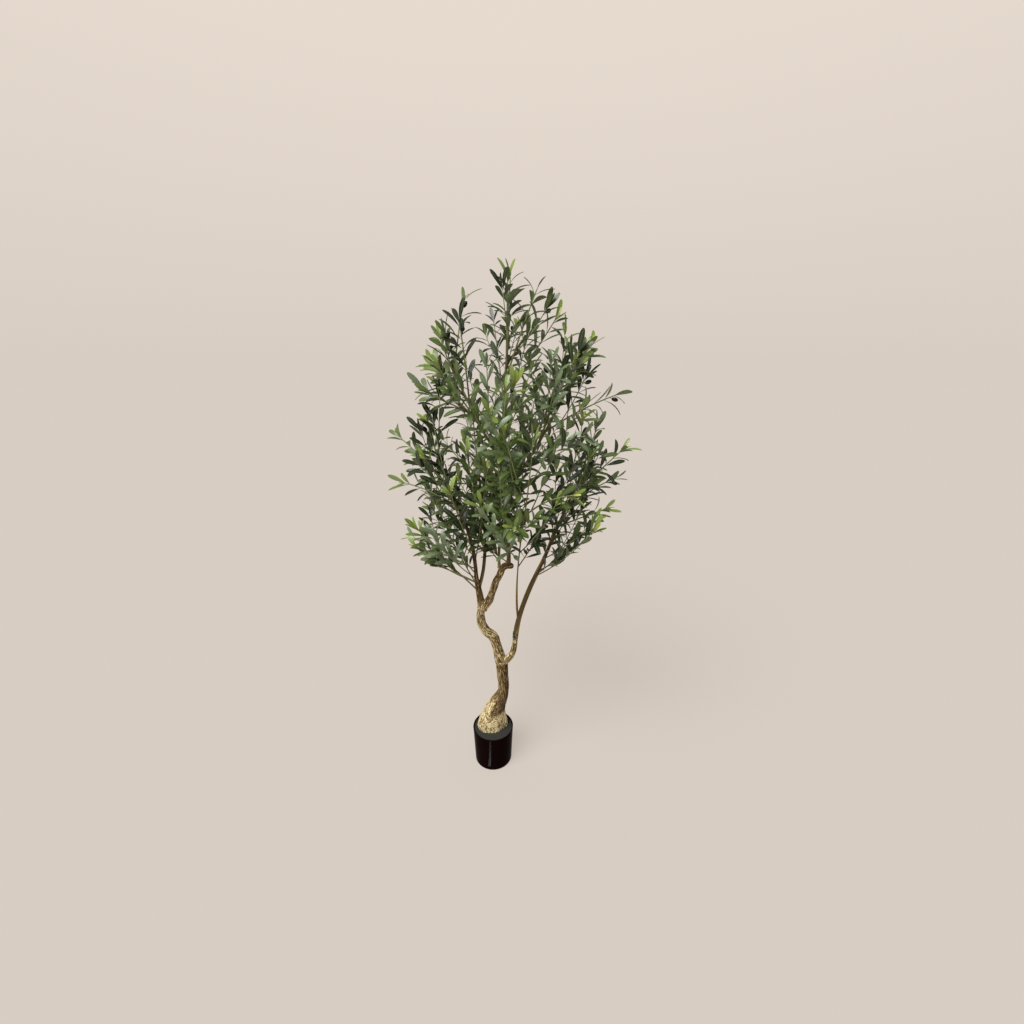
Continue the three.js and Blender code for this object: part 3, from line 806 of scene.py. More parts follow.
def tube_corners(rings, sides):
    """Corners of a closed tube's triangles as ring and side numbers. Ring 0 and ring rings + 1 are the poles;
    a band between two rings is two triangles a side, a pole is a fan, and all turn outward."""
    r, s = (grid.ravel() for grid in np.meshgrid(np.arange(1, rings), np.arange(sides), indexing="ij"))
    side = np.arange(sides)
    pole, low, high = np.zeros(sides, int), np.ones(sides, int), np.full(sides, rings)
    ring_sets = [(r, r, r + 1), (r, r + 1, r + 1), (pole, low, low), (high + 1, high, high)]
    side_sets = [(s, s + 1, s + 1), (s, s + 1, s), (side + 0.5, side + 1, side), (side + 0.5, side, side + 1)]
    ring = np.concatenate([np.stack(group, axis=1) for group in ring_sets])
    place = np.concatenate([np.stack(group, axis=1) for group in side_sets])
    return ring, place


def add_piece(name, points, sides, finish, along=None, marks=None, sharp=None):
    """Puts closed tubes into one mesh.

    points has the tubes first, then a pole, the rings' points ring by ring and a pole. The map runs once
    round each tube and, by the shares along, from pole to pole; marks are numbers kept at the points.
    """
    copies, count = points.shape[:2]
    rings = (count - 2) // sides
    ring, place = tube_corners(rings, sides)
    vertex = 1 + (ring - 1) * sides + np.floor(place).astype(int) % sides
    vertex = np.where(ring == 0, 0, np.where(ring > rings, count - 1, vertex))
    corners = (vertex[None] + count * np.arange(copies)[:, None, None]).ravel()
    along = np.linspace(0, 1, rings + 2) if along is None else along
    spread_map = np.stack([place / sides, along[ring]], axis=-1).reshape(-1, 2)
    mesh = bpy.data.meshes.new(name)
    mesh.vertices.add(copies * count)
    mesh.vertices.foreach_set("co", points.astype(np.float32).ravel())
    mesh.loops.add(len(corners))
    mesh.loops.foreach_set("vertex_index", corners.astype(np.int32))
    mesh.polygons.add(len(corners) // 3)
    mesh.polygons.foreach_set("loop_start", np.arange(0, len(corners), 3, dtype=np.int32))
    layer = mesh.uv_layers.new(name=BAKE_MAP)
    layer.data.foreach_set("uv", np.tile(spread_map, (copies, 1)).astype(np.float32).ravel())
    for key, values in (marks or {}).items():
        mark = mesh.attributes.new(key, "FLOAT", "POINT")
        mark.data.foreach_set("value", values.astype(np.float32).ravel())
    mesh.update(calc_edges=True)
    mesh.validate()
    mesh.shade_smooth()
    if sharp is not None:
        mesh.set_sharp_from_angle(angle=sharp)
    mesh.materials.append(finish.material)
    piece = bpy.data.objects.new(name, mesh)
    bpy.context.scene.collection.objects.link(piece)
    return piece


def dress(piece, slot, *nodes):
    """Rides a piece on the tree and lets it stand for its nodes, which it hides. The slot is not used."""
    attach(piece, "root")
    if nodes:
        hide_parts(*nodes)


class Wire:
    """A shader socket that can stand in a sum: each operator adds a Math node."""

    def __init__(self, finish, socket):
        self.finish = finish
        self.socket = socket

    def __add__(self, other):
        return self.finish.math("ADD", self, other)

    def __sub__(self, other):
        return self.finish.math("SUBTRACT", self, other)

    def __rsub__(self, other):
        return self.finish.math("SUBTRACT", other, self)

    def __mul__(self, other):
        return self.finish.math("MULTIPLY", self, other)

    def __abs__(self):
        return self.finish.math("ABSOLUTE", self)

    def __gt__(self, other):
        return self.finish.math("GREATER_THAN", self, other)

    __radd__ = __add__
    __rmul__ = __mul__


class Finish:
    """A material with one Principled shader, whose other nodes are added by expressions."""

    def __init__(self, name, constants):
        self.material = bpy.data.materials.new(name)
        self.material.use_nodes = True
        self.tree = self.material.node_tree
        self.shader = self.tree.nodes["Principled BSDF"]
        self.shade(constants)

    def feed(self, socket, value):
        """Links a wire to a socket or sets the socket's own value."""
        if isinstance(value, Wire):
            self.tree.links.new(value.socket, socket)
        else:
            socket.default_value = value

    def shade(self, sockets):
        """Feeds the shader's sockets."""
        for name, value in sockets.items():
            self.feed(self.shader.inputs[name], value)

    def node(self, kind, settings, sockets, output=0):
        """Adds a node, sets its settings and then its sockets, and returns one of its outputs."""
        node = self.tree.nodes.new(kind)
        for name, value in settings.items():
            if name == "stops":
                set_stops(node.color_ramp, value)
            else:
                setattr(node, name, value)
        for name, value in sockets.items():
            self.feed(node.inputs[name], value)
        return Wire(self, node.outputs[output])

    def math(self, operation, *values):
        """The result of a Math node."""
        return self.node("ShaderNodeMath", {"operation": operation}, dict(enumerate(values)))

    def mix(self, share, first, second):
        """A colour between two colours."""
        return self.node("ShaderNodeMix", {"data_type": "RGBA"}, {0: share, 6: first, 7: second}, 2)

    def ramp(self, value, stops):
        """The colour of a value on a ramp."""
        return self.node("ShaderNodeValToRGB", {"stops": stops}, {"Fac": value})

    def rise(self, value, low, high):
        """0 to 1 as a value goes from low to high, smoothly."""
        sockets = {"Value": value, "From Min": low, "From Max": high}
        return self.node("ShaderNodeMapRange", {"interpolation_type": "SMOOTHSTEP"}, sockets)

    def mark(self, name):
        """A number kept at the mesh's points."""
        return self.node("ShaderNodeAttribute", {"attribute_name": name}, {}, "Fac")

    def places(self):
        """The place of a point on its piece, in metres."""
        return self.node("ShaderNodeTexCoord", {}, {}, "Object")

    def grain(self, scale, detail=4.0):
        """Noise from 0 to 1 with grains of about 1 / scale metres."""
        sockets = {"Vector": self.places(), "Scale": scale, "Detail": detail}
        return self.node("ShaderNodeTexNoise", {}, sockets, "Fac")

    def wrap(self):
        """Places round and along a tube, each from 0 to 1."""
        spread_map = self.node("ShaderNodeUVMap", {"uv_map": BAKE_MAP}, {})
        split = self.node("ShaderNodeSeparateXYZ", {}, {"Vector": spread_map})
        return split, Wire(self, split.socket.node.outputs["Y"])

    def bump(self, height, strength, distance):
        """Bends the normal by a height."""
        sockets = {"Height": height, "Strength": strength, "Distance": distance}
        self.shade({"Normal": self.node("ShaderNodeBump", {}, sockets)})


def set_stops(ramp, stops):
    """Lays a ramp's stops, each a place and a colour."""
    stops = list(stops)
    while len(ramp.elements) < len(stops):
        ramp.elements.new(0.5)
    for element, (place, colour) in zip(ramp.elements, stops):
        element.position = place
        element.color = colour


def scaled(colour, share):
    """A colour made darker or paler by a share."""
    return [min(1.0, share * part) for part in colour[:3]] + [1.0]


def blended(first, second, share):
    """A colour at a share of the way from one colour to another."""
    return [between(a, b, share) for a, b in zip(first, second)]


def turned(profile, sides):
    """A profile of radii and heights carried once round the Z axis, from a pole on the axis to another."""
    rings = round_places(profile[1:-1, :1], round_angles(sides), profile[1:-1, 1:])
    start, end = (np.array([0, 0, height]) for height in profile[[0, -1], 1])
    return with_ends(start, rings, end)


def arc(centre, radius, start, end, steps):
    """Points of a circular arc round a centre, with angles in quarter turns from the radius axis."""
    angle = np.linspace(start, end, steps + 1) * QUARTER_TURN
    return np.stack([centre[0] + radius * np.cos(angle), centre[1] + radius * np.sin(angle)], axis=1)


def gloss_finish(pot):
    """Moulded black plastic: very glossy, with faint ripples and a few dull scuffs."""
    finish = Finish("pot_gloss", {"Specular IOR Level": 0.004})
    scuffs = finish.rise(finish.grain(POT_SCUFFS, detail=8.0), *POT_SCUFF_RANGE)
    cloudy = scaled(pot.gloss, POT_CLOUD_SHADE)
    finish.shade({
        "Base Color": finish.mix(finish.grain(POT_CLOUDS), pot.gloss, cloudy),
        "Roughness": POT_ROUGHNESS + POT_SCUFF_ROUGHNESS * scuffs,
    })
    finish.bump(finish.grain(POT_RIPPLES, detail=2.0), strength=0.05, distance=1 * MM)
    return finish


def cement_finish(pot):
    """Cement: matte grey with dark specks and a sandy grain."""
    finish = Finish("cement", {"Specular IOR Level": 0.25})
    cloud = finish.grain(CEMENT_CLOUDS, detail=5.0)
    sand = finish.grain(CEMENT_SAND, detail=3.0)
    specks = finish.rise(sand, *CEMENT_SPECK_RANGE)
    grey = finish.mix(cloud, pot.cement, scaled(pot.cement, CEMENT_CLOUD_SHADE))
    finish.shade({
        "Base Color": finish.mix(specks, grey, pot.cement_dark),
        "Roughness": CEMENT_ROUGHNESS + CEMENT_CLOUD_ROUGHNESS * cloud,
    })
    finish.bump(sand + CEMENT_CLOUD_HEIGHT * cloud, strength=0.6, distance=0.9 * MM)
    return finish


def bark_finish(bark):
    """Painted bark: dark cracks, tan plates and pale gold dry-brushed on what stands out, with the trunk's
    painted highlight and painted shade from its tone mark.
    """
    finish = Finish("bark", {"Specular IOR Level": 0.3})
    fine = finish.grain(BARK_GRAIN, detail=7.0)
    cloud = finish.grain(BARK_CLOUDS, detail=3.0)
    height = PAINT_BY_RELIEF * finish.mark("relief") - PAINT_OFFSET + PAINT_BY_GRAIN * (fine - 0.5)
    # The tone mark adds paint, and on the trunk also painted highlight and painted shade
    height = height + PAINT_BY_CLOUDS * (cloud - 0.5) + PAINT_BY_TONE * finish.mark("tone")
    dim = blended(bark.plate, bark.crack, PAINT_DIMMING)
    colour = finish.ramp(height, zip(PAINT_STOPS, (bark.crack, dim, bark.plate, bark.gold)))
    gold = finish.rise(height, *GOLD_RANGE)
    finish.shade({"Base Color": colour, "Roughness": BARK_ROUGHNESS - GOLD_SMOOTHNESS * gold})
    dust = finish.grain(BARK_DUST, detail=3.0)
    finish.bump(fine + BARK_DUST_HEIGHT * dust, strength=0.5, distance=0.8 * MM)
    return finish


def stem_finish(bark):
    """Smooth painted stems: brown with pale streaks along them, turning green inside the crown."""
    finish = Finish("stem", {"Specular IOR Level": 0.25})
    streak = finish.mark("relief")
    fine = finish.grain(STEM_GRAIN, detail=4.0)
    shade = finish.rise(streak + STEM_GRAIN_SHARE * (fine - 0.5), *STEM_STREAK_RANGE)
    dark = scaled(bark.stem, STEM_DARK_SHADE)
    brown = finish.ramp(shade, zip(STEM_STOPS, (dark, bark.stem, bark.stem_pale)))
    finish.shade({
        "Base Color": finish.mix(finish.mark("tone"), brown, bark.stem_green),
        "Roughness": STEM_ROUGHNESS + STEM_GRAIN_ROUGHNESS * fine,
    })
    finish.bump(streak + STEM_GRAIN_HEIGHT * fine, strength=0.35, distance=0.6 * MM)
    return finish


def twig_finish(crown, bark):
    """Wire twigs: brown at the root and green to the tip."""
    finish = Finish("twig", {"Specular IOR Level": 0.6, "Roughness": 0.36})
    _, along = finish.wrap()
    green = finish.rise(along, *TWIG_GREEN_RANGE)
    finish.shade({"Base Color": finish.mix(green, bark.stem, crown.twig)})
    return finish


def leaf_finish(tint, upper, crown):
    """A moulded leaf: a pale midrib and faint veins on its own colour above, and grey green below."""
    finish = Finish("leaf_" + tint, {"Specular IOR Level": 0.55})
    round_it, along = finish.wrap()
    across = abs(2.0 * finish.math("FRACT", 2.0 * round_it) - 1.0)
    below = round_it > 0.5
    rib = 1.0 - finish.rise(across, *RIB_RANGE)
    vein = finish.math("SINE", VEINS_ALONG * along - VEINS_ACROSS * across)
    vein_line = finish.rise(vein, *VEIN_RANGE)
    blade = finish.mix(finish.rise(along, *BLADE_BASE_RANGE), scaled(upper, BLADE_BASE_SHADE), upper)
    lines = RIB_SHARE * rib + VEIN_SHARE * vein_line
    above = finish.mix(lines, blade, blended(upper, crown.under, RIB_PALENESS))
    under = finish.mix(UNDER_RIB_SHARE * rib, blended(upper, crown.under, UNDER_PALENESS), crown.under)
    stalk = finish.rise(along, *LEAF_STALK_RANGE)
    finish.shade({
        "Base Color": finish.mix(stalk, crown.twig, finish.mix(below, above, under)),
        "Roughness": LEAF_ROUGHNESS + UNDER_ROUGHNESS * below + VEIN_ROUGHNESS * vein_line,
    })
    finish.bump(VEIN_HEIGHT * vein_line - rib, strength=0.35, distance=0.5 * MM)
    return finish


def olive_finish(crown):
    """Ripe olives: near black, waxy, a little browner at the stalk."""
    finish = Finish("olive", {"Specular IOR Level": 0.35, "Roughness": 0.3})
    _, along = finish.wrap()
    stalk_end = scaled(crown.olive, OLIVE_STALK_SHADE)
    ripe = finish.rise(along, *OLIVE_STALK_RANGE)
    finish.shade({"Base Color": finish.mix(ripe, stalk_end, crown.olive)})
    return finish


def sleeve_finish(bark):
    """The torn end of the bark's sleeve: near black with a few worn spots."""
    finish = Finish("sleeve", {"Specular IOR Level": 0.5, "Roughness": 0.55})
    worn = finish.rise(finish.grain(SLEEVE_WEAR, detail=3.0), *SLEEVE_WEAR_RANGE)
    finish.shade({"Base Color": finish.mix(worn, bark.sleeve, bark.plate)})
    return finish


def floor_finish(stage):
    """A plain pale floor that glows a little, as one lit from all sides does, so that shadows stay light."""
    finish = Finish("floor", {"Specular IOR Level": 0.0, "Roughness": 1.0})
    finish.shade({"Base Color": scaled(stage.floor, FLOOR_DIMMING)})
    finish.shade({"Emission Color": stage.floor, "Emission Strength": FLOOR_GLOW})
    return finish


def foot_swell(height, angle):
    """How much wider than its core the trunk is: a power of the height left to the flare's top, lobed round
    the trunk, and a buttress that is a sharpened cosine in heading and a cosine hump in height, squared below
    its peak so that it runs out softly there."""
    share = np.maximum(0.0, (FLARE_TOP - height) / (FLARE_TOP - FILL_LEVEL))
    front = np.maximum(0, -np.sin(angle))
    lobes = 1 + FLARE_LOBE_DEPTH * np.cos(FLARE_LOBES * angle) - FLARE_FRONT_CUT * front
    flare = FLARE_RISE * share**FLARE_POWER * lobes
    below = height < BUTTRESS_PEAK
    reach = np.where(below, BUTTRESS_FOOT_REACH, BUTTRESS_TOP_REACH)
    away = np.minimum(1.0, np.abs(height - BUTTRESS_PEAK) / reach)
    hump = np.cos(away * math.pi / 2) ** np.where(below, BUTTRESS_FOOT_POWER, BUTTRESS_TOP_POWER)
    ridge = ((1 + np.cos(angle - BUTTRESS_HEADING)) / 2) ** BUTTRESS_SHARPNESS
    return flare + BUTTRESS_RISE * hump * ridge


def turn_from(angle, heading):
    """The angle from a heading, from minus half a turn to half a turn."""
    return (angle - heading + math.pi) % TURN - math.pi


def heading_gap(angle, heading):
    """The smaller angle between two headings."""
    return np.abs(turn_from(angle, heading))


def crest_height(height, angle):
    """The sharp crest on the buttress: a hump in height that falls off to both sides of one heading."""
    middle = (CREST_LOW + CREST_HIGH) / 2
    hump = 1 - np.clip(np.abs(height - middle) / (CREST_HIGH - middle), 0, 1) ** 2
    return hump * np.exp(-heading_gap(angle, CREST_HEADING) / CREST_WIDTH)


def bark_height(angle, along, reach, scaly):
    """Bark from 0 in its cracks to 1 on its plates. Plates are long cells of warped noise, and a crack runs
    where the noise crosses its middle; scaly, from 0 to 1 along the limb, shortens them to lumps."""
    length = np.cumsum(np.gradient(along) / between(PLATE_ALONG, SCALE_ALONG, scaly))[:, None]
    round_it = reach / between(PLATE_ACROSS, SCALE_ACROSS, scaly)[:, None]
    places = round_places(round_it, angle + BARK_TWIST * along[:, None], length)
    shifted = [layered_noise(WARP_SCALE * places + shift, BARK_LAYERS) for shift in WARP_SHIFTS]
    warp = np.stack(shifted, axis=-1) - 0.5
    cells = smooth_noise(places + WARP_STRENGTH * warp)
    plates = smoothstep(0.0, CRACK_WIDTH, np.abs(2 * cells - 1))
    grain = layered_noise(GRAIN_SCALE * places + warp, BARK_LAYERS)
    return FLOOR_SHARE + PLATE_SHARE * plates + GRAIN_SHARE * grain


def knot_rings(height, angle, radius):
    """The knot: a raised rim round a hollow eye. Returns its lift and where it covers the bark."""
    sideways = radius * turn_from(angle, KNOT_HEADING)
    away = np.hypot(sideways, KNOT_FLATNESS * (height - KNOT_HEIGHT)) / KNOT_RADIUS
    rim = bell((away - KNOT_RIM) / KNOT_RIM_WIDTH)
    eye = KNOT_EYE_DEPTH * bell(away / KNOT_EYE_WIDTH)
    return rim - eye, 1.0 - smoothstep(*KNOT_EDGE, away)


def frame_slot(name):
    """The slot of a limb's finish: the left bough counts as a stem though its foot has bark."""
    return "stem" if name == "left_bough" else "bark"


def bulge_height(height, angle, heading, level, rise):
    """A round swelling on the trunk: a bell in heading and height."""
    return rise * bell(np.hypot(heading_gap(angle, heading) / BULGE_SPREAD, (height - level) / BULGE_LENGTH))


def trunk_paint_and_light(height, angle):
    """How much paler than usual the trunk is coloured: pale on the flare's left face, partly by paint and
    partly as a painted highlight on the side that the light falls on, pale paint all round its foot, painted
    shade right of the crest and up to the fork, most of all on the shaded right side and in the hollow, and a
    little dark at the bend."""
    beyond = turn_from(angle, CREST_HEADING)
    left = smoothstep(*LEFT_FRONT_EDGE, beyond) * smoothstep(*LEFT_BACK_EDGE, beyond)
    left = left * smoothstep(*LEFT_TOP, height)
    foot = smoothstep(*FOOT_TOP, height)
    stem = smoothstep(*PAINTED_SHADE_FROM, height) * smoothstep(*PAINTED_SHADE_TO, height)
    side = bell(heading_gap(angle, SHADED_SIDE) / SHADED_SIDE_SPREAD)
    hollow = stem * smoothstep(*HOLLOW_TOP, height)
    bend = smoothstep(*BEND_FROM, height)
    dark = stem * (TRUNK_PAINTED_SHADE + SHADED_SIDE_DARKENING * side) + HOLLOW_PAINTED_SHADE * hollow
    return LEFT_PAINT_AND_HIGHLIGHT * left + (1 - left) * (FOOT_TONE * foot - dark) - BEND_TONE * bend


def limb_frame(name, t):
    """Centres, headings, two axes and radii of a limb's rings, with a round cap at its tip. The trunk's
    lowest rings lie level and turn to follow its axis higher up."""
    centre, heading, radius = limb_line(name, t)
    if name == "trunk":
        rise = (centre[:, 2] - FILL_LEVEL) / (UPRIGHT_RINGS_TO - FILL_LEVEL)
        level = np.sqrt(np.clip(1 - rise, 0, 1))[:, None]
        heading = unit(heading + level * (UP - heading))
    cap = (np.arange(CAP_RINGS) + 1) / (CAP_RINGS + 1) * math.pi / 2
    centre = np.vstack([centre, centre[-1] + radius[-1] * np.sin(cap)[:, None] * heading[-1]])
    heading = np.vstack([heading, np.repeat(heading[-1:], CAP_RINGS, axis=0)])
    radius = np.concatenate([radius, radius[-1] * np.cos(cap)])
    first = unit(np.cross(DEPTH, heading))
    return centre, heading, first, np.cross(heading, first), radius


def limb_points(centre, heading, first, second, reach, angle):
    """Rings of points at a reach from the axis, between a pole in the root and a pole on the tip."""
    rings = centre[:, None] + reach[..., None] * spokes(first[:, None], second[:, None], angle)
    tip = centre[-1] + heading[-1] * reach[-1].mean() * TIP_ROUNDING
    return with_ends(centre[0], rings, tip)


def with_poles(values):
    """A ring's numbers with the two poles' numbers put in front and behind."""
    return np.concatenate([[values[0].mean()], values.ravel(), [values[-1].mean()]])


def make_barked_limb(name, bark, finish):
    """A limb whose radius is its core's, plus the foot's swelling on the trunk, plus the bark's relief."""
    is_trunk = name == "trunk"
    sides = BARK_SIDES[name]
    centre, heading, first, second, radius = limb_frame(name, np.linspace(0, 1, BARK_RINGS[name]))
    angle = round_angles(sides) + 0 * radius[:, None]
    along = path_length(centre)
    height = centre[:, 2:]
    scaly = smoothstep(SCALY_FROM, SCALY_TO, height[:, 0]) if is_trunk else 0 * along
    bare = smoothstep(*BARK_FADE, height) if name == "left_bough" else 0 * height
    lump = layered_noise(round_places(LUMPS_ROUND, angle, along[:, None] / LUMP_LENGTH), LUMP_LAYERS)
    reach = radius[:, None] * (1 + (TRUNK_LUMPS if is_trunk else LIMB_LUMPS) * (lump - 0.5))
    if is_trunk:
        reach = reach + foot_swell(height, angle) + CREST_RISE * crest_height(height, angle)
        reach = reach + sum(bulge_height(height, angle, *bulge) for bulge in BULGES)
    else:
        reach = reach * (1 + BARK_COLLAR * np.exp(-along / BARK_COLLAR_LENGTH))[:, None]
    relief = bark_height(angle, along, reach, scaly)
    if is_trunk:
        knot, cover = knot_rings(height, angle, reach)
        relief = between(relief, KNOT_LEVEL + KNOT_LIFT * knot, cover)
        # On the trunk the tone mark carries painted highlight and painted shade as well as paint
        tone = trunk_paint_and_light(height, angle)
    else:
        root = ROOT_TONE * np.exp(-along / ROOT_TONE_LENGTH)[:, None]
        tone = root + LIMB_TONES[name] - BARE_TONE * bare + 0 * angle
    depth = between(bark.relief, bark.flare_relief, scaly[:, None])
    fade = np.minimum(1.0, radius / np.median(radius))[:, None] * (1 - BARE_SMOOTHING * bare)
    reach = reach + depth * fade * (relief - BARK_DATUM)
    points = limb_points(centre, heading, first, second, reach, angle)
    marks = {"relief": with_poles(relief), "tone": with_poles(tone)}
    dress(add_piece(name, points, sides, finish, marks=marks), frame_slot(name), name)


def make_sleeve_end(bark):
    """The torn end of the right bough's sleeve: a band round the bough whose edges wave by noise."""
    centre, heading, _ = (part[0] for part in limb_line("right_bough", np.array([SLEEVE_PLACE])))
    first = unit(np.cross(DEPTH, heading))
    angle = round_angles(SLEEVE_SIDES)
    wave = layered_noise(round_places(SLEEVE_WAVES_ROUND, angle, 0.0), BARK_LAYERS) - 0.5
    height = SLEEVE_HEIGHTS[:, None] * (1 + SLEEVE_HEIGHT_WAVE * wave)
    radius = SLEEVE_RADII[:, None] * (1 + SLEEVE_RADIUS_WAVE * wave)
    spoke = spokes(first, np.cross(heading, first), angle)
    rings = centre + height[..., None] * heading + radius[..., None] * spoke
    start, end = (centre + high * heading for high in SLEEVE_ENDS)
    dress(add_piece("sleeve_end", with_ends(start, rings, end), SLEEVE_SIDES, sleeve_finish(bark)), "bark")


def make_smooth_limb(name, finish):
    """A slim limb: its radius with faint ribs along it, and a collar that widens its root."""
    rings = STEM_RINGS_PER_ROW * (len(LIMBS[name]) - 1)
    centre, heading, first, second, radius = limb_frame(name, np.linspace(0, 1, rings))
    angle = round_angles(STEM_SIDES) + 0 * radius[:, None]
    along = path_length(centre)[:, None]
    places = round_places(STREAKS_ROUND, angle, along / STREAK_LENGTH)
    streak = layered_noise(places + STREAK_SHIFT * len(name), STREAK_LAYERS)
    collar = STEM_COLLAR * np.exp(-along / (STEM_COLLAR_LENGTH * radius[0]))
    reach = radius[:, None] * (1 + collar + STEM_RIBS * (streak - 0.5))
    tone = smoothstep(*STEM_GREEN_FROM, centre[:, 2:]) + 0 * angle
    points = limb_points(centre, heading, first, second, reach, angle)
    marks = {"relief": with_poles(streak), "tone": with_poles(tone)}
    dress(add_piece(name, points, STEM_SIDES, finish, marks=marks), "stem", name)


class Twigs:
    """Twigs as quadratic curves, all at once: where each starts, bends and ends, and how it is turned."""

    def __init__(self, root, middle, end, spin, girth):
        self.root, self.middle, self.end, self.spin, self.girth = root, middle, end, spin, girth
        bend = np.cross(middle - root, end - root)
        flat = np.linalg.norm(bend, axis=1, keepdims=True) < TINY
        self.across = unit(np.where(flat, np.cross(end - root, UP), bend))
        points = self.points(np.linspace(0, 1, TWIG_LENGTH_POINTS))
        self.length = np.linalg.norm(np.diff(points, axis=1), axis=2).sum(axis=1)

    def __len__(self):
        return len(self.root)

    def points(self, t):
        """Points at the shares t, twig by twig."""
        parts = (part[:, None] for part in (self.root, self.middle, self.end))
        return curve_points(*parts, np.asarray(t)[None, :, None])

    def frames(self, which, t):
        """Centre, heading and two sides of the twigs which, at one share t each."""
        root, middle, end = self.root[which], self.middle[which], self.end[which]
        t = t[:, None]
        heading = unit((1 - t) * (middle - root) + t * (end - middle))
        first = spokes(self.across[which], np.cross(heading, self.across[which]), self.spin[which])
        return curve_points(root, middle, end, t), heading, first, np.cross(heading, first)

    def joined(self, other):
        """These twigs followed by others."""
        names = ("root", "middle", "end", "spin", "girth")
        return Twigs(*(np.concatenate([getattr(self, n), getattr(other, n)]) for n in names))


def counted(counts):
    """Owners and places of repeated things: counts of 2 and 3 give 0 0 1 1 1 and 0 1 0 1 2."""
    owner = np.repeat(np.arange(len(counts)), counts)
    return owner, np.arange(len(owner)) - np.repeat(np.cumsum(counts) - counts, counts)


def crown_reach(height):
    """The crown's reach from its axis: its widest, less a power of how far the height is from that level."""
    share = (height - CROWN_BASE) / (CROWN_TOP - CROWN_BASE)
    above = share > CROWN_WIDEST
    away = np.abs(share - CROWN_WIDEST) / np.where(above, 1 - CROWN_WIDEST, CROWN_WIDEST + CROWN_UNDERCUT)
    return CROWN_REACH * (1 - away ** np.where(above, CROWN_POWER_ABOVE, CROWN_POWER_BELOW))


def in_crown(points, margin):
    """Where points lie inside the crown's outline, widened by a margin. Its front is flatter than its back
    and its underside rises to the front and to both sides."""
    depth = np.maximum(points[..., 1], -CROWN_FRONT_SQUEEZE * points[..., 1])
    away = np.hypot(points[..., 0] - CROWN_AXIS_X, depth)
    base = UNDERSIDE_LEVEL + UNDERSIDE_FRONT_SLOPE * np.maximum(0, -points[..., 1])
    base = base + UNDERSIDE_LEFT[1] * np.maximum(0, UNDERSIDE_LEFT[0] - points[..., 0])
    base = base + UNDERSIDE_RIGHT[1] * np.maximum(0, points[..., 0] - UNDERSIDE_RIGHT[0])
    return (points[..., 2] > base) & (away < crown_reach(points[..., 2]) + margin)


@functools.cache
def limb_samples():
    """Points along all limbs with the radius there."""
    counts = {name: LIMB_TESTS_PER_ROW * (len(rows) - 1) + 1 for name, rows in LIMBS.items()}
    lines = [limb_line(name, np.linspace(0, 1, count)) for name, count in counts.items()]
    return np.vstack([line[0] for line in lines]), np.concatenate([line[2] for line in lines])


def limb_distance(points):
    """Distance of points from the nearest limb's bark."""
    centres, radii = limb_samples()
    flat = points.reshape(-1, 3)
    gaps = np.sqrt(((flat[:, None] - centres[None]) ** 2).sum(axis=2)) - radii
    return gaps.min(axis=1).reshape(points.shape[:-1])


def crown_tips():
    """The outermost point of each mass: the sides' own, then the front's and the back's from low to high."""
    tips = [SIDE_TIPS]
    for count, facing, low, high, reach in FACES:
        step = np.arange(count)
        height = low + (high - low) * step / (count - 1)
        heading = facing + FACE_SPREAD * np.sin(FACE_STEP * step)
        tips.append(round_places(crown_reach(height) * reach, heading, height) + [CROWN_AXIS_X, 0, 0])
    return np.vstack(tips)


def stem_curve(root, tip, reach, key):
    """A stem's root, bend and end: it stops a leaf's reach short of its tip and sags or lifts by chance."""
    end = tip - reach * unit(tip - root)
    chord = end - root
    lift = UP - chord * (chord @ UP) / (chord @ chord)
    bend = np.linalg.norm(chord) * STEM_BEND * (chance(key, 1) - STEM_SAG_SHARE)
    return root, root + chord / 2 + lift * bend, end


def girth_rows(start, end, like):
    """The radii of twigs at their roots and at their ends, one row for each entry of like."""
    return np.stack([start + 0 * like, end + 0 * like], axis=1)


def grow_stems():
    """One stem for each mass, from the nearest place on a bough that it can rise from at a natural angle
    with no limb or other stem in its way."""
    roots, headings = [], []
    for name in BEARERS:
        count = STEM_PLACES_PER_ROW * (len(LIMBS[name]) - 1)
        centre, heading, _ = limb_line(name, np.arange(STEM_FIRST_PLACE + 1, count + 1) / count)
        roots.append(centre)
        headings.append(heading)
    roots, headings = np.vstack(roots), np.vstack(headings)
    share = np.linspace(0, 1, STEM_POINTS + 1)[:, None]
    taken_roots, taken_points, curves = [], [], []
    for key, tip in enumerate(crown_tips()):
        length = np.linalg.norm(tip - roots, axis=1)
        turn = np.arccos(np.clip((unit(tip - roots) * headings).sum(axis=1), -1, 1))
        strain = np.maximum(0, turn - STEM_TURN) / STEM_TURN_TOLERANCE
        order = np.argsort(length * (1 + strain**2), kind="stable")
        for i in order[(length[order] > STEM_SHORTEST) & (length[order] < STEM_LONGEST)]:
            points = curve_points(*stem_curve(roots[i], tip, STEM_CHOICE_REACH, key), share)
            crowded = any(np.linalg.norm(other - roots[i]) < STEM_SPACING for other in taken_roots)
            near = [np.linalg.norm(points[:, None] - other[None], axis=2).min() for other in taken_points]
            blocked = min([limb_distance(points[STEM_FREE_FROM:]).min(), *near]) < STEM_CLEAR
            if not crowded and not blocked:
                break
        else:
            raise RuntimeError(f"no place on a bough for {MASSES[key]}")
        taken_roots.append(roots[i])
        taken_points.append(points)
        curves.append(stem_curve(roots[i], tip, STEM_TIP_REACH, key))
    root, middle, end = (np.array(part) for part in zip(*curves))
    keys = np.arange(len(root))
    return Twigs(root, middle, end, TURN * chance(keys, 3), girth_rows(*STEM_GIRTHS, keys))


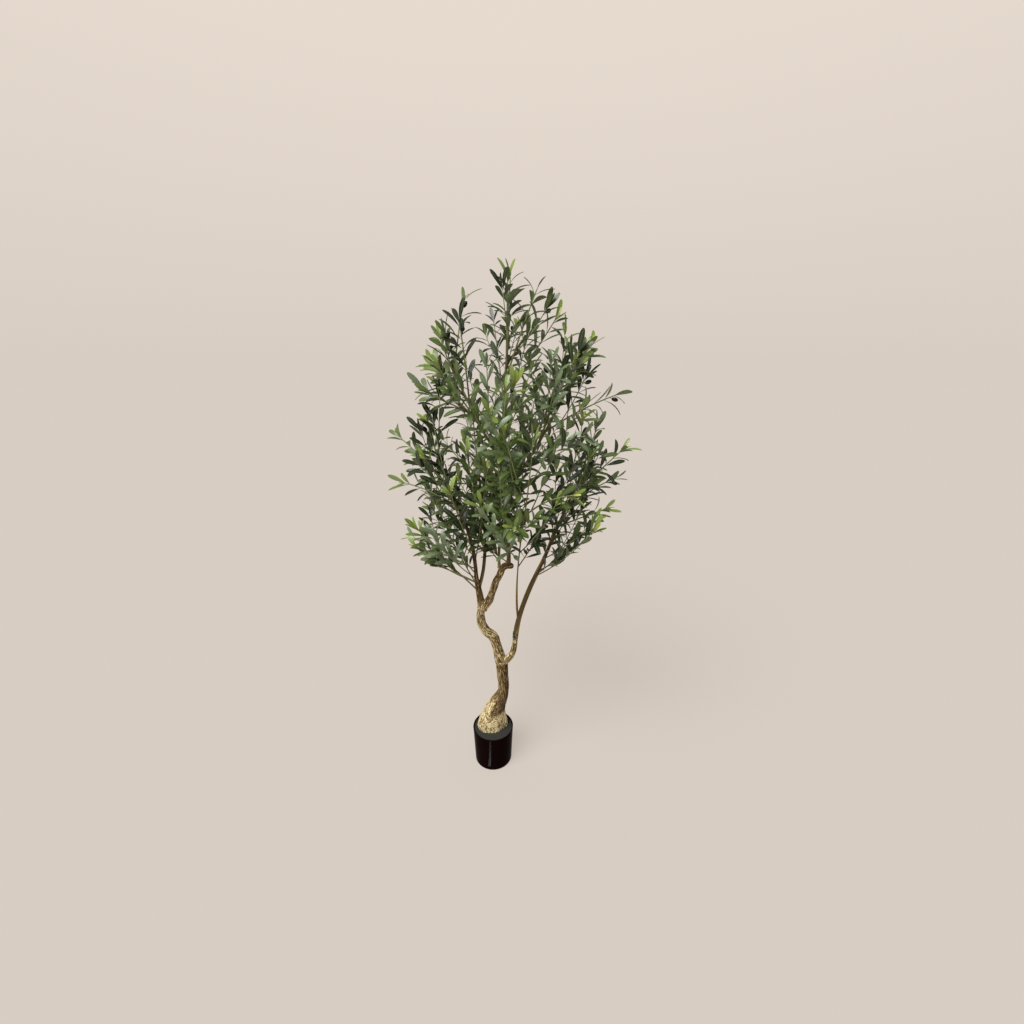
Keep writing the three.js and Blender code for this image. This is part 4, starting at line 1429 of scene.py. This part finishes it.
def grow_leaders():
    """Twigs that carry the ends of the boughs on, bending upward, as far as the crown's outline lets them."""
    lines = [limb_line(name, np.array([1.0])) for name in BEARERS if name != "upper_arm"]
    root = np.vstack([line[0] for line in lines])
    heading = np.vstack([line[1] for line in lines])
    girth = np.concatenate([line[2] for line in lines])
    length = np.zeros(len(root))
    for share in LEADER_TRIES:
        end = root + LEADER_LENGTH * share * unit(heading + LEADER_LIFT * UP)
        length = np.where(in_crown(end, -LEADER_MARGIN), LEADER_LENGTH * share, length)
    kept = length > 0
    root, heading, girth, length = root[kept], heading[kept], girth[kept], length[kept][:, None]
    end = root + length * unit(heading + LEADER_LIFT * UP)
    spin = TURN * chance(np.arange(len(root)), 17)
    middle = root + LEADER_BEND_AT * length * heading
    return Twigs(root, middle, end, spin, girth_rows(girth, LEADER_END_GIRTH, girth))


def leaning(frames, azimuth, angle):
    """The direction that leaves a twig on one side of it at an angle."""
    _, heading, first, second = frames
    return unit(spokes(heading, spokes(first, second, azimuth), angle))


def fitted_twigs(root, lean, full, lift, margin, spin, girth):
    """Twigs that leave their roots along lean and bend upward by lift, as long as the crown and the limbs
    let them be; those that fit at no length are left out, and some of those high in the crown."""
    length = 0 * full
    for shrink in reversed(SHOOT_TRIES):
        end = root + shrink * full * (lean + lift * UP)
        half = root + shrink * full * (HALF_WAY_LEAN * lean + HALF_WAY_LIFT * lift * UP)
        clear = (limb_distance(end) > SHOOT_CLEAR) & (limb_distance(half) > 0.5 * SHOOT_CLEAR)
        inset = margin * smoothstep(*MARGIN_HEIGHTS, end[:, 2])
        fits = in_crown(end, -inset) & clear
        length = np.where(fits[:, None], shrink * full, length)
    thinned = chance(spin, 12.0) < THIN_SHARE * smoothstep(*THIN_HEIGHTS, root[:, 2])
    kept = (length[:, 0] > 0) & ~thinned
    root, lean, length, spin = root[kept], lean[kept], length[kept], spin[kept]
    middle = root + TWIG_BEND_AT * length * lean
    end = root + length * (lean + lift * UP)
    return Twigs(root, middle, end, spin, girth_rows(girth, TWIG_END_GIRTH, spin))


def grow_sprays(crown):
    """Sprays from the sides of the boughs: evenly spaced a golden turn apart, lower ones longer and wider
    spread, all bending upward; one that would leave the crown or touch a limb is shortened or left out."""
    roots, headings, places = [], [], []
    for number, (name, lowest) in enumerate(SPRAY_FROM.items()):
        points = limb_line(name, np.linspace(0, 1, SPRAY_MEASURE_POINTS))[0]
        count = int(path_length(points)[-1] / SPRAY_SPACING)
        step = np.arange(count)
        centre, heading, _ = limb_line(name, (step + 0.5) / count)
        kept = (centre[:, 2] < SPRAY_LEVEL) | (step % HIGH_SPRAY_STEP == 0)
        kept &= (centre[:, 2] > lowest) & (centre[:, 2] < SPRAY_TO)
        roots.append(centre[kept])
        headings.append(heading[kept])
        places.append(np.stack([np.full(count, number), step], axis=1)[kept])
    root, heading = np.vstack(roots), np.vstack(headings)
    number, step = np.vstack(places).T
    key = number + SPRAY_KEYS * crown.seed
    first = unit(np.cross(DEPTH, heading))
    frames = (root, heading, first, np.cross(heading, first))
    below = np.maximum(0, SPRAY_LEVEL - root[:, 2])
    low = smoothstep(0, SPRAY_LEVEL - SPRAY_LOWEST, below)
    angle = between(SPRAY_ANGLE, SPRAY_LOW_ANGLE, low) * between(*SPRAY_ANGLE_SPREAD, chance(key, step, 6))
    lean = leaning(frames, GOLDEN_TURN * step + TURN * chance(key, 9), angle)
    outward = unit((root - [CROWN_AXIS_X, 0, 0]) * [1, 1, 0])
    lean = unit(lean + SPRAY_OUTWARD * low[:, None] * outward)
    lean = unit(lean + np.maximum(0, SPRAY_STEEPNESS - lean[:, 2:]) * UP)
    full = (SPRAY_LENGTH + SPRAY_LENGTHENING * below) * between(*SPRAY_LENGTH_SPREAD, chance(key, step, 4))
    spin = TURN * chance(key, step, 5)
    return fitted_twigs(root, lean, full[:, None], SPRAY_LIFT, SPRAY_MARGIN, spin, SPRAY_GIRTH)


def grow_shoots(stems, crown):
    """Side shoots: spaced along each stem a golden turn apart, shorter toward its tip, bending upward, and
    cut shorter or left out where they would leave the crown or touch a limb."""
    counts = np.maximum(2, stems.length * (SHOOT_LAST - SHOOT_FIRST) / crown.shoot_spacing).astype(int)
    which, step = counted(counts)
    key = which + SHOOT_KEYS * crown.seed
    share = (step + SHOOT_STEP_SPREAD * chance(key, step, 2)) / counts[which]
    t = between(SHOOT_FIRST, SHOOT_LAST, share)
    frames = stems.frames(which, t)
    angle = SHOOT_ANGLE * between(*SHOOT_ANGLE_SPREAD, chance(key, step, 6))
    lean = leaning(frames, GOLDEN_TURN * step + TURN * chance(key, 9), angle)
    spread = 1 + SHOOT_LENGTH_SPREAD * (2 * chance(key, step, 4) - 1)
    full = ((SHOOT_LENGTH - SHOOT_SHORTENING * t) * spread)[:, None]
    spin = TURN * chance(key, step, 5)
    return fitted_twigs(frames[0], lean, full, SHOOT_LIFT, SHOOT_MARGIN, spin, SHOOT_GIRTH)


def leaf_tints(twigs, which, key, third, from_tip):
    """The tint of each leaf: one of the first four for all of a twig, the last of them rarer toward the front
    as painted shade that darkens the crown's front, and on a flushing twig the other three at its end. Also
    says which leaves are buds."""
    flush = (chance(key, 43.0) < FLUSH_SHARE) | np.isin(which, FLUSHING_STEMS)
    flush &= twigs.end[which, 2] > FLUSH_FROM
    front = smoothstep(*FRONT_SHADE_DEPTHS, -twigs.end[which, 1])
    base = np.searchsorted(np.cumsum(TINT_SHARES), chance(key, 41.0) * (1 - FRONT_SHADE_SHIFT * front))
    bud = flush & third
    choices = [bud, flush & (from_tip == 0), flush & (from_tip == 1)]
    return np.select(choices, [BUD, BRIGHT, YOUNG], base), bud


def room_for_leaves(tests):
    """Where leaves, each given by its tested points, stay in the crown and off limbs and earlier leaves."""
    fits = in_crown(tests, LEAF_FRINGE).all(axis=1) & (limb_distance(tests) > LEAF_LIMB_CLEAR).all(axis=1)
    middle = tests[:, 0]
    gap = np.linalg.norm(middle[:, None] - middle[None], axis=2)
    earlier = np.tril(np.ones(gap.shape, bool), -1)
    return fits & ~((gap < LEAF_CROWD) & earlier).any(axis=1)


def grow_leaves(twigs, first, crown):
    """Leaves in opposite pairs along each twig beyond its bare part, the share first of it, each pair a
    quarter turn from the last, and three at its end.

    A leaf leans from its twig and its face looks to the twig's tip, up and to the front. One that would leave
    the crown, touch a limb or lie in another leaf is left out. Returns arrays with one row a leaf.
    """
    pairs = np.maximum(1, twigs.length * (1 - first) / crown.pair_spacing).astype(int)
    which, slot = counted(2 * pairs + END_LEAVES)
    pairs = pairs[which]
    at_end, third = slot >= 2 * pairs, slot == 2 * pairs + 2
    pair, side = np.minimum(slot // 2, pairs - 1), slot % 2
    key = which + LEAF_KEYS * crown.seed
    jitter = [chance(key, slot, k) - 0.5 for k in range(7)]
    share = (pair + 0.5 + LEAF_STEP_SPREAD * jitter[0]) / pairs
    t = np.minimum(between(first[which], 1, share), LAST_PAIR_AT)
    frames = twigs.frames(which, np.where(at_end, END_LEAVES_AT, t))
    turn = QUARTER_TURN * np.where(at_end, pairs, pair) + math.pi * side
    turn = turn + np.where(at_end, END_TURN_SPREAD, LEAF_TURN_SPREAD) * jitter[1]
    end_angle = np.where(third, THIRD_ANGLE, END_ANGLE + END_ANGLE_SPREAD * jitter[2])
    side_angle = LEAF_ANGLE - LEAF_ANGLE_CLOSING * share + LEAF_ANGLE_SPREAD * jitter[2]
    droop = LEAF_DROOP * (0.5 + jitter[3])[:, None] * UP
    heading = unit(leaning(frames, turn, np.where(at_end, end_angle, side_angle)) - droop)
    face = frames[1] + LEAF_FACE + LEAF_FACE_SPREAD * np.stack([jitter[4], jitter[5], 0 * t], axis=1)
    face = unit(face - heading * (face * heading).sum(axis=1, keepdims=True))
    curl = LEAF_CURL + jitter[3] + np.where(at_end, END_CURL, SIDE_CURL)
    tint, bud = leaf_tints(twigs, which, key, third, np.where(at_end, 0, pairs - pair))
    young = YOUNG_SHORTENING * smoothstep(*YOUNG_SHARES, share)
    young = np.where(at_end, END_SHORTENING + THIRD_SHORTENING * third, young)
    front = smoothstep(*FRONT_DEPTHS, -frames[0][:, 1])
    size = 1 + LEAF_LENGTH_SPREAD * jitter[6] - young - BUD_SHORTENING * bud
    length = crown.leaf_length * size * (1 - FRONT_SHORTENING * front)
    tests = frames[0][:, None] + heading[:, None] * (length[:, None] * np.array(LEAF_TESTS))[..., None]
    fits = room_for_leaves(tests)
    rows = {"root": frames[0], "heading": heading, "face": face, "length": length, "curl": curl, "tint": tint}
    return {name: row[fits] for name, row in rows.items()}


@functools.cache
def grown_crown():
    """The crown's stems with their leaders and sprays, its shoots, and the leaves of all of them."""
    crown = bpy.context.scene.olive_crown
    bearing = grow_stems().joined(grow_leaders())
    sprays = grow_sprays(crown)
    shoots = grow_shoots(bearing, crown)
    stems = bearing.joined(sprays)
    bare = np.repeat(BARE_SHARES, [len(bearing), len(sprays), len(shoots)])
    leaves = grow_leaves(stems.joined(shoots), bare, crown)
    return stems, shoots, leaves


def twig_points(twigs, rings, sides):
    """Tubes along the twigs, tapering from one girth to the other and pointed at the tip."""
    t = np.linspace(0, 1, rings)
    which, step = counted(np.full(len(twigs), rings))
    centre, _, first, second = twigs.frames(which, t[step])
    girth = between(twigs.girth[which, 0], twigs.girth[which, 1], t[step])
    spoke = spokes(first[:, None], second[:, None], round_angles(sides))
    ring = (centre[:, None] + girth[:, None, None] * spoke).reshape(len(twigs), rings * sides, 3)
    tip = twigs.end + unit(twigs.end - twigs.middle) * twigs.girth[:, 1:]
    return np.concatenate([twigs.root[:, None], ring, tip[:, None]], axis=1)


def leaf_points(leaf, width_share):
    """Leaves as flat closed blades. The midline bends in a circular arc, the width is a product of powers of
    u and 1-u along the blade after a slim stalk, and the section is a diamond with its edges a little up."""
    blade = np.clip((LEAF_STATIONS[1:-1] - STALK_SHARE) / (1 - STALK_SHARE), 0, 1)
    shape = np.maximum(BLADE_SCALE * blade * (1 - blade) ** BLADE_TIP_POWER, STALK_WIDTH)
    length, curl = leaf["length"][:, None, None], leaf["curl"][:, None, None]
    curl = np.where(np.abs(curl) < LEAST_CURL, LEAST_CURL, curl)
    heading, face = leaf["heading"][:, None], leaf["face"][:, None]
    bent = curl * LEAF_STATIONS[:, None]
    line = leaf["root"][:, None] + length / curl * (heading * np.sin(bent) - face * (1 - np.cos(bent)))
    normal = (face * np.cos(bent) + heading * np.sin(bent))[:, 1:-1]
    middle = line[:, 1:-1]
    half = 0.5 * width_share * length * shape[:, None]
    aside = half * np.cross(face, heading)
    edge_up = LEAF_EDGE_LIFT * half * normal
    thick = LEAF_HALF_THICKNESS * normal
    corners = [middle + aside + edge_up, middle + thick, middle - aside + edge_up, middle - thick]
    ring = np.stack(corners, axis=2).reshape(len(line), -1, 3)
    return np.concatenate([line[:, :1], ring, line[:, -1:]], axis=1)


def olive_points(centre, heading):
    """Olives along headings: the radius follows the root of u(1-u) from one end to the other."""
    u = (np.arange(OLIVE_RINGS) + 1) / (OLIVE_RINGS + 1)
    first = unit(np.cross(heading, OLIVE_ACROSS))
    spoke = spokes(first[:, None], np.cross(heading, first)[:, None], round_angles(OLIVE_SIDES))
    line = centre[:, None] + heading[:, None] * OLIVE_LENGTH * (u - 0.5)[:, None]
    swell = OLIVE_RADIUS * np.sqrt(4 * u * (1 - u))
    ring = line[:, :, None] + swell[:, None, None] * spoke[:, None]
    ends = [(centre + heading * OLIVE_LENGTH * side)[:, None] for side in (-0.5, 0.5)]
    return np.concatenate([ends[0], ring.reshape(len(centre), -1, 3), ends[1]], axis=1)


def light_world(tree, stage):
    """Shows the surround, paler above, behind the tree and lights the tree with a dimmer white."""
    shown = tree.nodes["Background"]
    ways = tree.nodes.new("ShaderNodeSeparateXYZ")
    tree.links.new(tree.nodes.new("ShaderNodeTexCoord").outputs["Generated"], ways.inputs[0])
    paint = tree.nodes.new("ShaderNodeValToRGB")
    set_stops(paint.color_ramp, [(0.0, stage.surround), (SURROUND_HIGH_AT, stage.surround_high)])
    tree.links.new(ways.outputs["Z"], paint.inputs["Fac"])
    tree.links.new(paint.outputs["Color"], shown.inputs["Color"])
    lit = tree.nodes.new("ShaderNodeBackground")
    lit.inputs["Color"].default_value = SURROUND_WHITE
    lit.inputs["Strength"].default_value = stage.surround_light
    path = tree.nodes.new("ShaderNodeLightPath")
    mix = tree.nodes.new("ShaderNodeMixShader")
    tree.links.new(path.outputs["Is Camera Ray"], mix.inputs[0])
    tree.links.new(lit.outputs[0], mix.inputs[1])
    tree.links.new(shown.outputs[0], mix.inputs[2])
    tree.links.new(mix.outputs[0], tree.nodes["World Output"].inputs["Surface"])


def add_key_light(strength):
    """An even light from far away in one direction, as wide as a large soft box."""
    light = bpy.data.lights.new("key", "SUN")
    light.energy = strength
    light.angle = KEY_WIDTH
    lamp = bpy.data.objects.new("key", light)
    x, y, z = KEY_FROM
    lamp.rotation_euler = (math.atan2(math.hypot(x, y), z), 0.0, math.atan2(x, -y))
    bpy.context.scene.collection.objects.link(lamp)


def add_strip_light(power):
    """A slim light that lies on the floor before the pot, faces up and shows in the pot's gloss."""
    light = bpy.data.lights.new("strip", "AREA")
    light.shape = "RECTANGLE"
    light.size, light.size_y = STRIP_SIZE
    light.energy = power
    lamp = bpy.data.objects.new("strip", light)
    aside, before = STRIP_DISTANCE * math.sin(STRIP_HEADING), STRIP_DISTANCE * math.cos(STRIP_HEADING)
    lamp.location = (aside, -before, STRIP_LEVEL)
    lamp.rotation_euler = (math.pi, 0.0, STRIP_HEADING)
    lamp.visible_camera = False
    lamp.visible_diffuse = False
    bpy.context.scene.collection.objects.link(lamp)


class OLIVE_OT_make_pot(bpy.types.Operator):
    """Makes the gloss pot and its cement fill"""

    bl_idname = "olive_tree.make_pot"
    bl_label = "Pot and fill"

    def execute(self, context):
        pot = context.scene.olive_pot
        lip = LIP_SHARE * pot.wall
        inner = pot.rim_radius - pot.wall
        slope = (pot.rim_radius - pot.foot_radius) / pot.height
        foot_centre = [pot.foot_radius + slope * pot.foot_round - pot.foot_round, pot.foot_round]
        side_height = np.linspace(pot.foot_round, pot.height - lip, POT_SIDE_POINTS)[1:-1]
        side = np.stack([pot.foot_radius + slope * side_height, side_height], axis=1)
        profile = np.vstack([
            [[0, 0], [foot_centre[0] / 2, 0]],
            arc(foot_centre, pot.foot_round, -1, 0, FOOT_STEPS),
            side,
            arc([pot.rim_radius - lip, pot.height - lip], lip, 0, 1, LIP_STEPS),
            arc([inner + lip, pot.height - lip], lip, 1, 2, LIP_STEPS),
            [[inner - slope * INNER_WALL_DROP, pot.height - INNER_WALL_DROP]],
            [[pot.foot_radius - pot.wall, pot.floor], [0, pot.floor]],
        ])
        points = turned(profile, POT_SIDES)
        piece = add_piece("pot", points, POT_SIDES, gloss_finish(pot), sharp=POT_CREASE)
        dress(piece, "pot_plastic", "pot")
        top, edge, bottom = FILL_HIGH.z, FILL_HIGH.x, pot.floor + FILL_CLEAR
        spread = np.linspace(1, 0, FILL_TOP_POINTS + 2)[1:-1] * edge
        grain = FILL_GRAIN * (chance(np.arange(FILL_TOP_POINTS)) - 0.5)
        fill = np.vstack([
            [[0, bottom], [FILL_FOOT_SHARE * edge, bottom]],
            [[edge, top - FILL_EDGE_DROP], [edge - FILL_EDGE_INSET, top]],
            np.stack([spread, top + grain], axis=1),
            [[0, top]],
        ])
        points = turned(fill, FILL_SIDES)
        piece = add_piece("pot_fill", points, FILL_SIDES, cement_finish(pot), sharp=FILL_CREASE)
        dress(piece, "cement", "pot_fill")
        return {"FINISHED"}


class OLIVE_OT_make_bark(bpy.types.Operator):
    """Makes the trunk, the three limbs that have its bark and the torn end of one limb's bark"""

    bl_idname = "olive_tree.make_bark"
    bl_label = "Trunk and barked limbs"

    def execute(self, context):
        bark = context.scene.olive_bark
        finish = bark_finish(bark)
        for name in BARKED:
            make_barked_limb(name, bark, finish)
        make_sleeve_end(bark)
        return {"FINISHED"}


class OLIVE_OT_make_stems(bpy.types.Operator):
    """Makes the smooth boughs and stems"""

    bl_idname = "olive_tree.make_stems"
    bl_label = "Smooth stems"

    def execute(self, context):
        finish = stem_finish(context.scene.olive_bark)
        for name in SMOOTH:
            make_smooth_limb(name, finish)
        return {"FINISHED"}


class OLIVE_OT_make_twigs(bpy.types.Operator):
    """Makes the twigs of all masses, with the stems and the shoots each in one piece"""

    bl_idname = "olive_tree.make_twigs"
    bl_label = "Twigs"

    def execute(self, context):
        stems, shoots, _ = grown_crown()
        finish = twig_finish(context.scene.olive_crown, context.scene.olive_bark)
        for name, twigs, mesh in (("twig_stems", stems, STEM_MESH), ("twig_shoots", shoots, SHOOT_MESH)):
            dress(add_piece(name, twig_points(twigs, *mesh), mesh[1], finish), "stem", *MASSES)
        return {"FINISHED"}


class OLIVE_OT_make_leaves(bpy.types.Operator):
    """Makes the leaves, with those of one tint in one piece"""

    bl_idname = "olive_tree.make_leaves"
    bl_label = "Leaves"

    def execute(self, context):
        crown = context.scene.olive_crown
        _, _, leaves = grown_crown()
        for number, tint in enumerate(TINTS):
            chosen = {name: row[leaves["tint"] == number] for name, row in leaves.items()}
            finish = leaf_finish(tint, tuple(getattr(crown, tint)), crown)
            points = leaf_points(chosen, crown.leaf_width)
            name = "leaves_" + tint
            piece = add_piece(name, points, LEAF_SIDES, finish, along=LEAF_STATIONS, sharp=LEAF_CREASE)
            dress(piece, "leaf", *MASSES)
        return {"FINISHED"}


class OLIVE_OT_make_olives(bpy.types.Operator):
    """Makes the olives and their stalks"""

    bl_idname = "olive_tree.make_olives"
    bl_label = "Olives"

    def execute(self, context):
        crown = context.scene.olive_crown
        stems, shoots, _ = grown_crown()
        twigs = stems.joined(shoots)
        key = np.arange(len(twigs)) + OLIVE_KEYS * crown.seed
        bearing = np.flatnonzero(chance(key, 7) < crown.olive_share)
        key = key[bearing]
        frames = twigs.frames(bearing, between(*OLIVE_PLACES, chance(key, 8)))
        lean = leaning(frames, TURN * chance(key, 9), OLIVE_ANGLE + 0 * bearing)
        hang = unit(HANG_ALONG * frames[1] + HANG_ASIDE * lean - HANG_DOWN * UP)
        knee = frames[0] + KNEE_REACH * lean
        centre = knee + OLIVE_DROP * hang
        fits = in_crown(centre, CROWN_FRINGE) & (limb_distance(centre) > OLIVE_LIMB_CLEAR)
        root, knee, centre, hang = frames[0][fits], knee[fits], centre[fits], hang[fits]
        straight = 0 * root[:, 0]
        girths = girth_rows(STALK_GIRTH, STALK_GIRTH, straight)
        stalks = Twigs(root, knee, centre - STALK_STOP * hang, straight, girths)
        finish = twig_finish(crown, context.scene.olive_bark)
        points = twig_points(stalks, *STALK_MESH)
        dress(add_piece("olive_stalks", points, STALK_MESH[1], finish), "stem", *MASSES)
        points = olive_points(centre, hang)
        dress(add_piece("olives", points, OLIVE_SIDES, olive_finish(crown)), "leaf", *MASSES)
        return {"FINISHED"}


class OLIVE_OT_make_stage(bpy.types.Operator):
    """Makes the floor, the light and the camera"""

    bl_idname = "olive_tree.make_stage"
    bl_label = "Stage"

    def execute(self, context):
        scene, stage = context.scene, context.scene.olive_stage
        under = [[radius, FLOOR_UNDER] for radius in (0, FLOOR_RADII[0])]
        top = [[radius, FLOOR_TOP] for radius in (*FLOOR_RADII, 0)]
        points = turned(np.array(under + top), FLOOR_SIDES)
        floor = add_piece("floor", points, FLOOR_SIDES, floor_finish(stage), sharp=FLOOR_CREASE)
        world = bpy.data.worlds.new("surround")
        world.use_nodes = True
        light_world(world.node_tree, stage)
        scene.world = world
        scene.view_settings.view_transform = "Standard"
        add_key_light(stage.key_light)
        add_strip_light(stage.strip_light)
        camera = bpy.data.cameras.new("camera")
        camera.lens = stage.lens
        camera.sensor_width = CAMERA_SENSOR
        view = bpy.data.objects.new("camera", camera)
        view.location = CAMERA_PLACE
        view.rotation_euler = (CAMERA_TILT, 0.0, 0.0)
        scene.collection.objects.link(view)
        scene.camera = view
        return {"FINISHED"}


PIECES = (
    OLIVE_OT_make_stage,
    OLIVE_OT_make_pot,
    OLIVE_OT_make_bark,
    OLIVE_OT_make_stems,
    OLIVE_OT_make_twigs,
    OLIVE_OT_make_leaves,
    OLIVE_OT_make_olives,
)


class OLIVE_PT_tree(bpy.types.Panel):
    """Lists the tree's settings and the pieces that can be made"""

    bl_idname = "OLIVE_PT_tree"
    bl_label = "Potted olive tree"
    bl_space_type = "VIEW_3D"
    bl_region_type = "UI"
    bl_category = "Olive tree"

    def draw(self, context):
        for operator in PIECES:
            self.layout.operator(operator.bl_idname)
        for name in SETTINGS:
            group = getattr(context.scene, name)
            box = self.layout.box()
            for key in group.__annotations__:
                box.prop(group, key)


CLASSES = (*SETTINGS.values(), *PIECES, OLIVE_PT_tree)


def register():
    """Registers the classes and keeps the settings in the scene."""
    for kind in CLASSES:
        bpy.utils.register_class(kind)
    for name, kind in SETTINGS.items():
        setattr(bpy.types.Scene, name, PointerProperty(type=kind))


def unregister():
    """Takes the settings and the classes away again."""
    for name in SETTINGS:
        delattr(bpy.types.Scene, name)
    for kind in reversed(CLASSES):
        bpy.utils.unregister_class(kind)


def main():
    """Makes the whole tree on its stage."""
    register()
    bpy.ops.olive_tree.make_stage()
    bpy.ops.olive_tree.make_pot()
    bpy.ops.olive_tree.make_bark()
    bpy.ops.olive_tree.make_stems()
    bpy.ops.olive_tree.make_twigs()
    bpy.ops.olive_tree.make_leaves()
    bpy.ops.olive_tree.make_olives()


if __name__ == "__main__":
    main()
